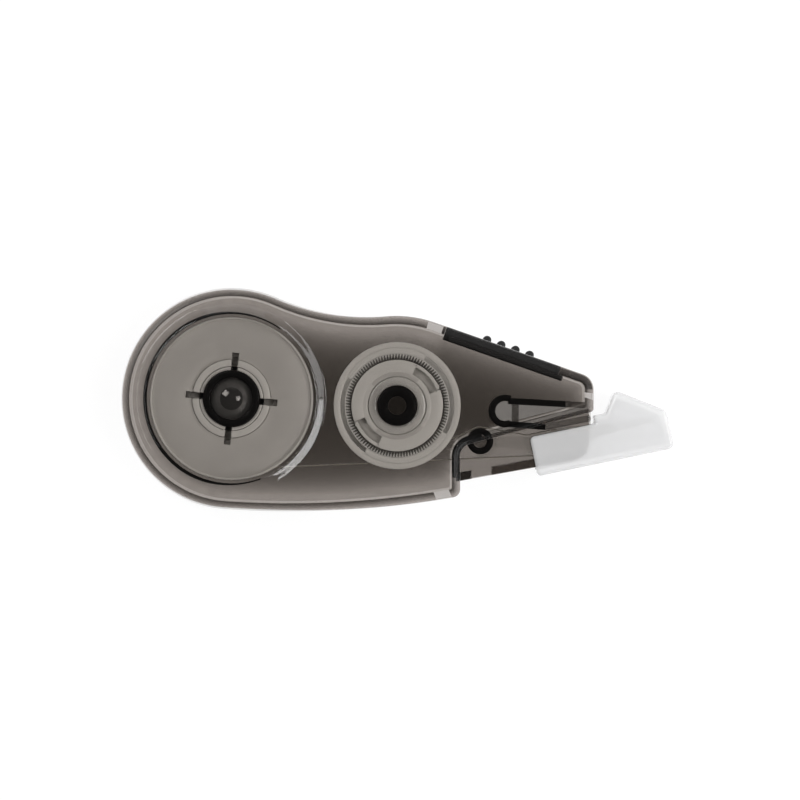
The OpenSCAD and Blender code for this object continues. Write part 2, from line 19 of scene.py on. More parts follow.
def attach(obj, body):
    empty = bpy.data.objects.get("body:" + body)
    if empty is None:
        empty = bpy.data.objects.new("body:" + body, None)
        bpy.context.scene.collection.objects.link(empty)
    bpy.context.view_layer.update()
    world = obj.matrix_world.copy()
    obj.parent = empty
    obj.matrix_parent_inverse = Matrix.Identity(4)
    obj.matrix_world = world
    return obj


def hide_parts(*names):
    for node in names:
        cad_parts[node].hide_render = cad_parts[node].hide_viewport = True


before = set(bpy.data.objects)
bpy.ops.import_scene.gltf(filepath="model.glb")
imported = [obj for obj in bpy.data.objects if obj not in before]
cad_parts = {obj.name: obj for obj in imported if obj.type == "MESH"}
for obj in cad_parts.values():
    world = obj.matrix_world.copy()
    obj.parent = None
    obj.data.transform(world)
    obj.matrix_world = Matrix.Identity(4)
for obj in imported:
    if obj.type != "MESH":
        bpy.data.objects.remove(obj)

LOG = logging.getLogger("correction_tape")
MM = 0.001
CASE_T = 13.0
SPLIT_Z = CASE_T / 2
REEL_GAP = 24.8
REEL_SLOPE = 2.4
TAKE_UP = REEL_GAP * np.array([math.cos(math.radians(REEL_SLOPE)), -math.sin(math.radians(REEL_SLOPE))])
SUPPLY = np.zeros(2)
POST = np.array([37.2, -6.378])
POST_R = 1.95
TAPE_Z = (5.5, 9.7)
ROLL_R = 10.4
WINDING_R = 7.85
# The lap is how far the parts of one piece run into each other.
LAP = 0.1
# The mesh attribute of painted shade: how far a see-through tint darkens towards its second tint.
PAINTED_SHADE_ATTRIBUTE = "depth"


def around(degrees: np.ndarray | float) -> np.ndarray:
    """Unit vectors at the given angles in degrees."""
    a = np.radians(degrees)
    return np.stack([np.cos(a), np.sin(a)], axis=-1)


def full_turn(steps: int) -> np.ndarray:
    """Equal angles once round in degrees, without the last one, which would repeat the first."""
    return np.linspace(0, 360, steps + 1)[:-1]


def bearing(v: np.ndarray) -> float:
    """Angle of a flat vector in degrees."""
    return math.degrees(math.atan2(v[1], v[0]))


def smooth_step(x: np.ndarray) -> np.ndarray:
    """The cubic 3x^2 - 2x^3 between 0 and 1, flat outside."""
    t = np.clip(x, 0.0, 1.0)
    return t * t * (3.0 - 2.0 * t)


@dataclass
class Surface:
    """Points in millimetres with blocks of faces, each block an array of corner numbers.

    The depth, from 0 to 1 at each point, is painted shade, which darkens a see-through finish towards its
    second tint.
    """

    points: np.ndarray
    blocks: list[np.ndarray]
    finish: int = 0
    depth: np.ndarray | None = None


def grid(points: np.ndarray, finish: int = 0, wrap_u: bool = False, wrap_v: bool = False) -> Surface:
    """Quads between neighbours of a grid of points.

    Args:
        points: Array of shape (U, V, 3).
        finish: Number of the piece's finish.
        wrap_u: Whether the last row joins the first.
        wrap_v: Whether the last column joins the first.

    Returns:
        The surface through all the points.
    """
    rows, cols = points.shape[:2]
    numbers = np.arange(rows * cols).reshape(rows, cols)
    if wrap_u:
        numbers = np.vstack([numbers, numbers[:1]])
    if wrap_v:
        numbers = np.hstack([numbers, numbers[:, :1]])
    quads = np.stack([numbers[:-1, :-1], numbers[1:, :-1], numbers[1:, 1:], numbers[:-1, 1:]], axis=-1)
    return Surface(points.reshape(-1, 3), [quads.reshape(-1, 4)], finish)


def clean(outline: np.ndarray) -> np.ndarray:
    """A closed outline without points that repeat the one before."""
    step = np.linalg.norm(outline - np.roll(outline, 1, axis=0), axis=1)
    return outline[step > 1e-5]


def inset(outline: np.ndarray, d: float) -> np.ndarray:
    """A counter-clockwise outline moved inwards by d along the mitre of each corner.

    The mitre is the sum of the two edge normals divided by 1 plus the cosine of the turn.

    Args:
        outline: Points in order, shape (n, 2).
        d: Distance inwards.

    Returns:
        As many points, in the same order.
    """
    e0 = outline - np.roll(outline, 1, axis=0)
    e1 = np.roll(outline, -1, axis=0) - outline
    e0 = e0 / np.linalg.norm(e0, axis=1, keepdims=True)
    e1 = e1 / np.linalg.norm(e1, axis=1, keepdims=True)
    mitre = np.stack([e0[:, 1] + e1[:, 1], -e0[:, 0] - e1[:, 0]], axis=1)
    return outline - d * mitre / (1.0 + np.sum(e0 * e1, axis=1, keepdims=True))


def rounded(corners: np.ndarray, steps: int = 8) -> np.ndarray:
    """Corners (x, y, radius) drawn as points with an arc at each.

    Each arc's centre lies on the corner's bisector at radius / sin(half the corner).

    Args:
        corners: Array of shape (n, 3), in order round the outline.
        steps: Parts of each arc.

    Returns:
        The outline's points, shape (m, 2).
    """
    p = corners[:, :2]
    r = np.maximum(corners[:, 2:], 1e-4)
    u = np.roll(p, 1, axis=0) - p
    v = np.roll(p, -1, axis=0) - p
    u = u / np.linalg.norm(u, axis=1, keepdims=True)
    v = v / np.linalg.norm(v, axis=1, keepdims=True)
    half = np.arccos(np.clip(np.sum(u * v, axis=1, keepdims=True), -1, 1)) / 2
    middle = (u + v) / np.linalg.norm(u + v, axis=1, keepdims=True)
    centre = p + middle * r / np.sin(half)
    start = p + u * r / np.tan(half) - centre
    turn = np.sign(u[:, 1:] * v[:, :1] - u[:, :1] * v[:, 1:])
    a = (math.pi - 2 * half) * turn * np.linspace(0, 1, steps + 1)
    x = start[:, :1] * np.cos(a) - start[:, 1:] * np.sin(a)
    y = start[:, :1] * np.sin(a) + start[:, 1:] * np.cos(a)
    return clean((centre[:, None, :] + np.stack([x, y], axis=-1)).reshape(-1, 2))


def edge_round(r: float, steps: int = 4) -> list[tuple[float, float]]:
    """Insets and drops from the top that round an edge off, as steps of a quarter circle."""
    a = np.linspace(0, math.pi / 2, steps + 1)
    return list(zip(r * (1 - np.cos(a)), r * (1 - np.sin(a))))


def inset_corners(corners: np.ndarray, d: float) -> np.ndarray:
    """Corners moved inwards, with radii that shrink at outward bends and grow at inward bends.

    Args:
        corners: Counter-clockwise corners (x, y, radius), shape (n, 3).
        d: Distance inwards.

    Returns:
        The moved corners, shape (n, 3).
    """
    least_r = 0.1
    flat = corners[:, :2]
    e0 = flat - np.roll(flat, 1, axis=0)
    e1 = np.roll(flat, -1, axis=0) - flat
    bend = np.sign(e0[:, 0] * e1[:, 1] - e0[:, 1] * e1[:, 0])
    return np.column_stack([inset(flat, d), np.maximum(corners[:, 2] - bend * d, least_r)])


def stacked(rings: list[tuple[np.ndarray, float]], finish: int = 0) -> Surface:
    """A closed surface through outlines of equally many points, with a lid at each end.

    Args:
        rings: Each outline with its height, in order.
        finish: Number of the piece's finish.

    Returns:
        The surface with its two lids.
    """
    rows = np.stack([np.column_stack([xy, np.full(len(xy), z)]) for xy, z in rings])
    body = grid(rows, finish, wrap_v=True)
    lid = np.arange(rows.shape[1])[None, :]
    body.blocks.append(lid)
    body.blocks.append((len(rings) - 1) * rows.shape[1] + lid)
    return body


def prism(outline: np.ndarray, z0: float, z1: float, bevel: float = 0.12, finish: int = 0) -> Surface:
    """An outline carried from z0 to z1, with rounded edges and two lids, each with a thin flat border.

    Args:
        outline: Counter-clockwise points, shape (n, 2).
        z0: Height of the lower lid.
        z1: Height of the upper lid.
        bevel: Radius of the edges.
        finish: Number of the piece's finish.

    Returns:
        A closed surface.
    """
    border = 0.02
    profile = [*edge_round(bevel, 3), (bevel + border, 0.0)]
    up = [(inset(outline, d), z1 - drop) for d, drop in profile]
    down = [(inset(outline, d), z0 + drop) for d, drop in reversed(profile)]
    return stacked(down + up, finish)


def block(corners: np.ndarray, z0: float, z1: float, bevel: float = 0.12, finish: int = 0,
          steps: int = 3) -> Surface:
    """Rounded corners carried from z0 to z1, with rounded edges and two lids, each with a flat border.

    Args:
        corners: Counter-clockwise corners (x, y, radius), shape (n, 3).
        z0: Height of the lower lid.
        z1: Height of the upper lid.
        bevel: Radius of the edges.
        finish: Number of the piece's finish.
        steps: Parts of each edge's quarter circle.

    Returns:
        A closed surface.
    """
    border = 0.03
    profile = [*edge_round(bevel, steps), (bevel + border, 0.0)]
    up = [(rounded(inset_corners(corners, d)), z1 - drop) for d, drop in profile]
    down = [(rounded(inset_corners(corners, d)), z0 + drop) for d, drop in reversed(profile)]
    return stacked(down + up, finish)


@dataclass(frozen=True)
class Ring:
    """A ring or part of a ring round an axis, whose two radii may change with the angle."""

    inner: float | np.ndarray
    outer: float | np.ndarray
    low: float
    high: float
    angles: np.ndarray | None = None
    bevel: float = 0.1
    open_ends: bool = False

    def surface(self, centre: np.ndarray, finish: int = 0) -> Surface:
        """Carry a rounded rectangle from inner to outer and low to high round the axis.

        Args:
            centre: Place of the axis, (x, y).
            finish: Number of the piece's finish.

        Returns:
            A closed surface.
        """
        turn = full_turn(144) if self.angles is None else self.angles
        r0 = np.broadcast_to(self.inner, turn.shape)
        r1 = np.broadcast_to(self.outer, turn.shape)
        b = self.bevel
        c = b * (1 - math.sqrt(0.5))
        out = []
        for side, along, lid, up in (
                (0, b, 0, 0), (0, c, 0, c), (0, 0, 0, b), (0, 0, 1, b), (0, c, 1, c), (0, b, 1, 0),
                (1, b, 1, 0), (1, c, 1, c), (1, 0, 1, b), (1, 0, 0, b), (1, c, 0, c), (1, b, 0, 0)):
            r = r0 + along if side == 0 else r1 - along
            z = self.low + up if lid == 0 else self.high - up
            flat = centre + r[:, None] * around(turn)
            out.append(np.column_stack([flat, np.full(len(turn), z)]))
        rows = np.stack(out, axis=1)
        body = grid(rows, finish, wrap_u=not self.open_ends, wrap_v=True)
        if self.open_ends:
            n = rows.shape[1]
            body.blocks.append(np.arange(n)[None, :])
            body.blocks.append((len(turn) - 1) * n + np.arange(n)[None, :])
        return body


def lathe(profile: np.ndarray, centre: np.ndarray, finish: int = 0, steps: int = 96) -> Surface:
    """Turn a profile once round an axis.

    Args:
        profile: Points (radius, height) in order, shape (n, 2).
        centre: Place of the axis, (x, y).
        finish: Number of the piece's finish.
        steps: Parts of the turn.

    Returns:
        The turned surface, closed where the profile starts and ends on the axis.
    """
    ray = around(full_turn(steps))
    flat = centre + profile[None, :, :1] * ray[:, None, :]
    height = np.broadcast_to(profile[None, :, 1:], flat.shape[:2] + (1,))
    return grid(np.concatenate([flat, height], axis=-1), finish, wrap_u=True)


def sector(start: float, end: float, steps: int = 24) -> np.ndarray:
    """Angles from start to end in degrees."""
    return np.linspace(start, end, steps + 1)


def inside(points: np.ndarray, loop: np.ndarray) -> np.ndarray:
    """Which points lie inside a loop: a ray to +X crosses it an odd number of times.

    Args:
        points: Flat points, shape (n, 2).
        loop: Closed outline, shape (m, 2).

    Returns:
        True for each point inside.
    """
    a = loop[None, :, :]
    b = np.roll(loop, -1, axis=0)[None, :, :]
    x = points[:, :1]
    y = points[:, 1:]
    spans = (a[..., 1] > y) != (b[..., 1] > y)
    rise = np.where(b[..., 1] == a[..., 1], 1e-12, b[..., 1] - a[..., 1])
    cross = a[..., 0] + (y - a[..., 1]) * (b[..., 0] - a[..., 0]) / rise
    return np.sum(spans & (x < cross), axis=1) % 2 == 1


def reach_to(points: np.ndarray, loop: np.ndarray) -> np.ndarray:
    """Shortest distance from each point to the edges of a loop.

    Args:
        points: Flat points, shape (n, 2).
        loop: Closed outline, shape (m, 2).

    Returns:
        One distance for each point.
    """
    a = loop[None, :, :]
    edge = np.roll(loop, -1, axis=0)[None, :, :] - a
    off = points[:, None, :] - a
    t = np.clip(np.sum(off * edge, axis=-1) / np.sum(edge * edge, axis=-1), 0, 1)
    return np.linalg.norm(off - t[..., None] * edge, axis=-1).min(axis=1)


def filled(loop: np.ndarray, rings: list[np.ndarray], spacing: float) -> tuple[np.ndarray, np.ndarray]:
    """Triangles that fill a loop and follow inner rings, with a regular field of points between.

    Args:
        loop: Outer boundary, shape (n, 2).
        rings: Closed rings inside it, whose edges the triangles keep.
        spacing: Distance of the field's points.

    Returns:
        The flat points and the triangles' corner numbers.
    """
    keep_off = 0.4 * spacing
    weld = 1e-6
    low = loop.min(axis=0)
    high = loop.max(axis=0)
    xs, ys = np.meshgrid(np.arange(low[0], high[0], spacing), np.arange(low[1], high[1], spacing))
    spread = np.column_stack([xs.ravel(), ys.ravel()])
    spread = spread[inside(spread, loop)]
    for ring in [loop, *rings]:
        spread = spread[reach_to(spread, ring) > keep_off]
    starts = np.cumsum([0] + [len(ring) for ring in [loop, *rings]])
    edges = [np.column_stack([s + np.arange(e - s), s + np.roll(np.arange(e - s), -1)])
             for s, e in zip(starts[:-1], starts[1:])]
    flat = [Vector(p) for p in np.concatenate([loop, *rings, spread]).tolist()]
    made = delaunay_2d_cdt(flat, np.concatenate(edges).tolist(), [], 1, weld)
    return np.array([tuple(p) for p in made[0]]), np.array(made[2])


class Nodes:
    """A material's node tree, with short calls to add nodes and end them in the output."""

    def __init__(self, name: str) -> None:
        """Start an empty material.

        Args:
            name: The material's name.
        """
        self.material = bpy.data.materials.new(name)
        self.material.use_nodes = True
        self.tree = self.material.node_tree
        self.tree.nodes.clear()
        self.place = self.add("TexCoord").outputs["Object"]

    def add(self, kind: str, inputs: dict | None = None, **settings: object) -> bpy.types.Node:
        """Add a node.

        Args:
            kind: Node type without its prefix.
            inputs: Value or linked output for each input, by name or number.
            settings: Properties of the node.

        Returns:
            The new node.
        """
        node = self.tree.nodes.new("ShaderNode" + kind)
        for key, value in settings.items():
            setattr(node, key, value)
        for key, value in (inputs or {}).items():
            if isinstance(value, bpy.types.NodeSocket):
                self.tree.links.new(value, node.inputs[key])
            else:
                node.inputs[key].default_value = value
        return node

    def noise(self, scale: float, detail: float = 3.0, rough: float = 0.55) -> bpy.types.NodeSocket:
        """Noise over the piece, with scale in features per metre."""
        return self.add("TexNoise", {"Vector": self.place, "Scale": scale, "Detail": detail,
                                     "Roughness": rough}).outputs["Fac"]

    def spread(self, fac: bpy.types.NodeSocket, low: float, high: float) -> bpy.types.NodeSocket:
        """Carry a 0 to 1 value to the range from low to high."""
        return self.add("MapRange", {"Value": fac, "To Min": low, "To Max": high}).outputs["Result"]

    def mixed(self, fac: bpy.types.NodeSocket, a: tuple | bpy.types.NodeSocket,
              b: tuple) -> bpy.types.NodeSocket:
        """Mix two colours, of which the first may come from another node."""
        first = (*a, 1.0) if isinstance(a, tuple) else a
        return self.add("Mix", {0: fac, 6: first, 7: (*b, 1.0)}, data_type="RGBA").outputs[2]

    def bump(self, height: bpy.types.NodeSocket, strength: float, distance: float) -> bpy.types.NodeSocket:
        """A bumped normal from a height."""
        bump = self.add("Bump", {"Height": height, "Strength": strength, "Distance": distance})
        return bump.outputs["Normal"]

    def end(self, shader: bpy.types.NodeSocket) -> bpy.types.Material:
        """Join the last shader to the output."""
        self.add("OutputMaterial", {"Surface": shader})
        return self.material


@dataclass(frozen=True)
class ClearPlastic:
    """See-through plastic: a face lets its tint through, mirrors at grazing angles and may have a haze.

    The second tint is painted shade and takes over where the surface's depth is 1. Only outer faces mirror,
    because light goes straight through here and would else be caught inside.
    """

    name: str
    tint: tuple[float, float, float]
    painted_shade_tint: tuple[float, float, float] | None = None
    haze: float = 0.0
    haze_colour: tuple[float, float, float] = (0.9, 0.9, 0.9)
    lets_light: float = 0.4
    gloss: float = 0.06
    gloss_spread: float = 1.6
    ior: float = 1.45
    clouds: float = 70.0
    cloud_shade: float = 0.985
    haze_shade: float = 0.96
    grain: float = 2600.0
    grain_depth: float = 0.02
    grain_height: float = 0.0001

    def make(self) -> bpy.types.Material:
        """Build the material.

        Returns:
            The new material.
        """
        n = Nodes(self.name)
        cloud = n.noise(self.clouds, 2.0)
        fine = n.bump(n.noise(self.grain, 4.0), self.grain_depth, self.grain_height)
        colour = n.mixed(cloud, tuple(self.cloud_shade * c for c in self.tint), self.tint)
        if self.painted_shade_tint:
            # Painted shade: the tint darkens towards the second tint as the depth attribute grows.
            depth = n.add("Attribute", attribute_name=PAINTED_SHADE_ATTRIBUTE).outputs["Fac"]
            colour = n.mixed(depth, colour, self.painted_shade_tint)
        body = n.add("BsdfTransparent", {"Color": colour}).outputs[0]
        if self.haze:
            white = n.mixed(cloud, tuple(self.haze_shade * c for c in self.haze_colour), self.haze_colour)
            fog = n.add("BsdfDiffuse", {"Color": white, "Normal": fine}).outputs[0]
            lit = n.add("BsdfTranslucent", {"Color": white, "Normal": fine}).outputs[0]
            fog = n.add("MixShader", {0: self.lets_light, 1: fog, 2: lit}).outputs[0]
            body = n.add("MixShader", {0: self.haze, 1: body, 2: fog}).outputs[0]
        rough = n.spread(cloud, self.gloss, self.gloss_spread * self.gloss)
        shine = n.add("BsdfGlossy", {"Color": (1, 1, 1, 1), "Normal": fine, "Roughness": rough}).outputs[0]
        edge = n.add("Fresnel", {"IOR": self.ior}).outputs[0]
        outer = n.spread(n.add("NewGeometry").outputs["Backfacing"], 1.0, 0.0)
        share = n.add("Math", {0: edge, 1: outer}, operation="MULTIPLY").outputs[0]
        return n.end(n.add("MixShader", {0: share, 1: body, 2: shine}).outputs[0])


@dataclass(frozen=True)
class SolidPlastic:
    """Moulded plastic or rubber with a fine grain and soft clouds."""

    name: str
    colour: tuple[float, float, float]
    rough: float = 0.35
    grain: float = 1800.0
    depth: float = 0.05
    specular: float = 0.5
    shade: float = 0.93
    clouds: float = 220.0
    rough_spread: tuple[float, float] = (0.85, 1.2)
    grain_height: float = 0.0002

    def make(self) -> bpy.types.Material:
        """Build the material.

        Returns:
            The new material.
        """
        n = Nodes(self.name)
        colour = n.mixed(n.noise(self.clouds), tuple(self.shade * c for c in self.colour), self.colour)
        fine = n.noise(self.grain, 5.0)
        smoothest, roughest = (share * self.rough for share in self.rough_spread)
        shader = n.add("BsdfPrincipled", {
            "Base Color": colour,
            "Roughness": n.spread(fine, smoothest, roughest),
            "Specular IOR Level": self.specular,
            "Normal": n.bump(fine, self.depth, self.grain_height)})
        return n.end(shader.outputs[0])


@dataclass(frozen=True)
class WoundTape:
    """Tape wound on a reel: fine turns that show as rings on its two ends."""

    name: str
    colour: tuple[float, float, float]
    centre: tuple[float, float]
    pitch: float = 0.15
    shade: float = 0.86
    rough: tuple[float, float] = (0.45, 0.6)
    grain: float = 900.0
    ridge: tuple[float, float] = (0.35, 0.65)
    ridge_depth: float = 0.2
    ridge_height: float = 0.0001

    def make(self) -> bpy.types.Material:
        """Build the material, with a ring pattern from the sine of the distance to the axis.

        Returns:
            The new material.
        """
        n = Nodes(self.name)
        axis = (-MM * self.centre[0], -MM * self.centre[1], 0.0)
        flat = n.add("Mapping", {"Vector": n.place, "Location": axis, "Scale": (1.0, 1.0, 0.0)}).outputs[0]
        far = n.add("VectorMath", {0: flat}, operation="LENGTH").outputs["Value"]
        turns = n.add("Math", {0: far, 1: 2 * math.pi / (self.pitch * MM)}, operation="MULTIPLY").outputs[0]
        wave = n.spread(n.add("Math", {0: turns}, operation="SINE").outputs[0], *self.ridge)
        dark = tuple(self.shade * c for c in self.colour)
        shader = n.add("BsdfPrincipled", {
            "Base Color": n.mixed(wave, dark, self.colour),
            "Roughness": n.spread(n.noise(self.grain), *self.rough),
            "Normal": n.bump(wave, self.ridge_depth, self.ridge_height)})
        return n.end(shader.outputs[0])


class Kit(Enum):
    """The finishes of the object."""

    FRONT_SMOKE = ClearPlastic("front_smoke", (0.80, 0.787, 0.775))
    # The second tint of a smoke is painted shade, taken where the surface's depth is 1.
    BACK_SMOKE = ClearPlastic("back_smoke", (0.68, 0.655, 0.637), (0.25, 0.232, 0.215))
    PANE_SMOKE = ClearPlastic("pane_smoke", (0.55, 0.54, 0.53))
    EDGE_SMOKE = ClearPlastic("edge_smoke", (0.85, 0.83, 0.82), (0.30, 0.285, 0.272))
    WALL_SMOKE = ClearPlastic("wall_smoke", (0.92, 0.91, 0.90))
    NOSE_SMOKE = ClearPlastic("nose_smoke", (0.40, 0.385, 0.375), (0.2, 0.19, 0.183))
    FRONT_BEND = ClearPlastic("front_bend", (0.80, 0.787, 0.775), gloss=0.25, ior=1.3)
    BACK_BEND = ClearPlastic("back_bend", (0.68, 0.655, 0.637), gloss=0.25, ior=1.3)
    WINDOW_SMOKE = ClearPlastic("window_smoke", (0.97, 0.97, 0.97))
    RIB_SMOKE = SolidPlastic("rib_smoke", (0.005, 0.0045, 0.0045), 0.4, specular=0.12)
    GEAR_CLEAR = ClearPlastic("gear_clear", (0.993, 0.993, 0.993), ior=1.02)
    NATURAL = ClearPlastic("natural_plastic", (0.96, 0.96, 0.955), haze=0.06, ior=1.2)
    WHITE = SolidPlastic("white_moulding", (0.86, 0.85, 0.82), 0.32)
    PALE = SolidPlastic("pale_moulding", (0.72, 0.705, 0.68), 0.32, shade=0.84)
    SHADED = SolidPlastic("shaded_moulding", (0.27, 0.262, 0.25), 0.4)
    TAPE = WoundTape("wound_tape", (0.88, 0.88, 0.86), (0.0, 0.0))
    FILM = WoundTape("wound_film", (0.34, 0.34, 0.33), (float(TAKE_UP[0]), float(TAKE_UP[1])), 0.1)
    STRIP = SolidPlastic("tape_strip", (0.87, 0.87, 0.85), 0.5)
    STRIP_EDGE = SolidPlastic("tape_edge", (0.32, 0.30, 0.26), 0.6)
    RUBBER = SolidPlastic("grip_rubber", (0.012, 0.012, 0.0125), 0.5, 3000.0, 0.15, 0.4)
    DOME = SolidPlastic("dome_plastic", (0.052, 0.051, 0.050), 0.06, 900.0, 0.01, 1.0)
    # A lighter copy of the dome's plastic, as painted reflection on the plug's shoulder.
    SHOULDER_PAINTED_REFLECTION = SolidPlastic("shoulder_painted_reflection", (0.115, 0.113, 0.111), 0.24, 900.0, 0.02)
    MILK = ClearPlastic("milky_cap", (0.995, 0.995, 0.997), haze=0.4, haze_colour=(0.99, 0.99, 0.995),
                        lets_light=0.06, gloss=0.14)

    def material(self) -> bpy.types.Material:
        """The finish's material, made once."""
        return bpy.data.materials.get(self.value.name) or self.value.make()


@dataclass(frozen=True)
class Piece:
    """A piece of the scene: the node it stands for, the body it rides on and a slot name."""

    node: str
    body: str
    slot: str
    finishes: tuple[Kit, ...]
    sharp: float = 35.0

    def build(self, surfaces: list[Surface]) -> bpy.types.Object:
        """Put surfaces into one mesh object and dress it.

        Args:
            surfaces: Closed surfaces of the piece.

        Returns:
            The object, riding on its body.
        """
        weld = 2e-7
        mesh = bpy.data.meshes.new(self.node)
        starts = np.cumsum([0] + [len(s.points) for s in surfaces])
        points = np.concatenate([s.points for s in surfaces]) * MM
        patches = [(faces + start, s.finish) for s, start in zip(surfaces, starts) for faces in s.blocks]
        mesh.from_pydata(points.tolist(), [], [row for faces, _ in patches for row in faces.tolist()])
        marks = np.concatenate([np.full(len(faces), finish) for faces, finish in patches])
        mesh.polygons.foreach_set("material_index", marks.astype(np.int32))
        if any(s.depth is not None for s in surfaces):
            depths = [np.zeros(len(s.points)) if s.depth is None else s.depth for s in surfaces]
            values = mesh.attributes.new(PAINTED_SHADE_ATTRIBUTE, "FLOAT", "POINT").data
            values.foreach_set("value", np.concatenate(depths).astype(np.float32))
        for finish in self.finishes:
            mesh.materials.append(finish.material())
        work = bmesh.new()
        work.from_mesh(mesh)
        bmesh.ops.remove_doubles(work, verts=work.verts, dist=weld)
        bmesh.ops.recalc_face_normals(work, faces=work.faces)
        work.to_mesh(mesh)
        work.free()
        mesh.shade_smooth()
        mesh.set_sharp_from_angle(angle=math.radians(self.sharp))
        piece = bpy.data.objects.new(self.node + "_piece", mesh)
        bpy.context.scene.collection.objects.link(piece)
        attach(piece, self.body)
        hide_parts(self.node)
        LOG.info("%s: %d faces on %s", piece.name, len(mesh.polygons), self.body)
        return piece


class Half(Enum):
    """The two halves of the case."""

    FRONT = "front"
    BACK = "back"


class ShellFinish(Enum):
    """Places of a shell's finishes in its list."""

    OWN = 0
    RIB = 1
    EDGE = 2
    WINDOW = 3
    PANE = 4
    WALL = 5
    NOSE = 6
    BEND = 7


class Stretch(IntEnum):
    """The stretches of the case's outline, in order from the nose round over the reel end."""

    NOSE_CORNER = 0
    GRIP = 1
    HUMP = 2
    WAIST = 3
    REEL_END = 4
    BELLY = 5
    HEEL = 6
    STEP_WALL = 7
    STEP = 8
    DIVIDE = 9
    FOOT = 10
    NOSE = 11


@dataclass(frozen=True)
class CaseOutline:
    """Side view of the case's body, as arcs and the straight edges between them."""

    reel_end_r: float = 16.6
    belly_r: float = 141.0
    belly_x: float = 8.7
    waist_r: float = 34.0
    hump_y: float = 12.4
    hump_r: float = 18.0
    grip_angle: float = 19.3
    nose_x: float = 54.15
    nose_top_y: float = 1.39
    nose_r: float = 2.4
    nose_foot_y: float = -1.9
    step_x: float = 34.2
    divide_angle: float = 14.8
    heel_r: float = 1.2
    foot_r: float = 0.6
    step_r: float = 2.0
    least_r: float = 0.3

    def divide_y(self, x: float) -> float:
        """Height of the line between body and neck."""
        return self.nose_foot_y - (self.nose_x - x) * math.tan(math.radians(self.divide_angle))

    def arcs(self, d: float) -> list[tuple[np.ndarray, float, float, float]]:
        """Centre, radius and two angles of each arc, from the nose round over the reel end to the foot.

        Neighbouring arcs touch: centres of arcs that bend the same way lie apart by the difference of
        their radii, and of arcs that bend opposite ways by the sum.

        Args:
            d: Distance by which the outline moves inwards.

        Returns:
            One tuple for each arc.
        """
        slope = math.radians(self.divide_angle)
        nose_c = np.array([self.nose_x - self.nose_r, self.nose_top_y])
        grip_n = around(90.0 - self.grip_angle)
        low = self.hump_y - self.hump_r
        reach = float(nose_c @ grip_n) + self.nose_r
        hump_c = np.array([(reach - self.hump_r - low * grip_n[1]) / grip_n[0], low])
        far = np.linalg.norm(hump_c)
        near_r = self.reel_end_r + self.waist_r
        next_r = self.hump_r + self.waist_r
        along = (far ** 2 + near_r ** 2 - next_r ** 2) / (2 * far)
        e = hump_c / far
        waist_c = along * e + math.sqrt(near_r ** 2 - along ** 2) * np.array([-e[1], e[0]])
        belly_rise = math.sqrt((self.belly_r - self.reel_end_r) ** 2 - self.belly_x ** 2)
        belly_c = np.array([self.belly_x, belly_rise])
        heel = max(self.heel_r - d, self.least_r)
        heel_x = self.step_x - d - heel
        drop = math.sqrt((self.belly_r - d - heel) ** 2 - (heel_x - belly_c[0]) ** 2)
        heel_c = np.array([heel_x, belly_c[1] - drop])
        step = self.step_r + d
        step_x = self.step_x - d + step
        step_c = np.array([step_x, self.divide_y(step_x) + (d - step) / math.cos(slope)])
        foot = max(self.foot_r - d, self.least_r)
        foot_x = self.nose_x - d - foot
        foot_c = np.array([foot_x, self.divide_y(foot_x) + (d + foot) / math.cos(slope)])
        waist_a = bearing(waist_c)
        belly_a = bearing(-belly_c)
        heel_a = bearing(heel_c - belly_c)
        grip_a = 90.0 - self.grip_angle
        return [
            (nose_c, self.nose_r - d, 0.0, grip_a),
            (hump_c, self.hump_r - d, grip_a, bearing(waist_c - hump_c)),
            (waist_c, self.waist_r + d, bearing(hump_c - waist_c), waist_a - 180.0),
            (SUPPLY, self.reel_end_r - d, waist_a, belly_a + 360.0),
            (belly_c, self.belly_r - d, belly_a, heel_a),
            (heel_c, heel, heel_a, 0.0),
            (step_c, step, 180.0, 90.0 + self.divide_angle),
            (foot_c, foot, self.divide_angle - 90.0, 0.0),
        ]


@dataclass(frozen=True)
class Gap:
    """A window in the edge wall, along one stretch of the outline, up to a height above the split."""

    start: float
    end: float
    lift: float


def broken(count: int, gaps: tuple[Gap, ...], ends: bool) -> tuple[np.ndarray, np.ndarray]:
    """Parameters along a stretch, with each gap's ends doubled, and the wall's lift at each.

    Args:
        count: Number of regular points.
        gaps: Windows on this stretch, from 0 to 1 along it.
        ends: Whether the stretch keeps its own two end points.

    Returns:
        Parameters and lifts, in order.
    """
    t = np.linspace(0, 1, count) if ends else np.linspace(0, 1, count + 2)[1:-1]
    lift = np.zeros(len(t))
    for gap in gaps:
        lift = np.where((t > gap.start) & (t < gap.end), gap.lift, lift)
    tiny = 1e-7
    cuts = [(gap.start - tiny, 0.0) for gap in gaps] + [(gap.start + tiny, gap.lift) for gap in gaps]
    cuts += [(gap.end - tiny, gap.lift) for gap in gaps] + [(gap.end + tiny, 0.0) for gap in gaps]
    extra = np.array([c for c in cuts if 0 < c[0] < 1]).reshape(-1, 2)
    t = np.concatenate([t, extra[:, 0]])
    lift = np.concatenate([lift, extra[:, 1]])
    order = np.argsort(t, kind="stable")
    return t[order], lift[order]


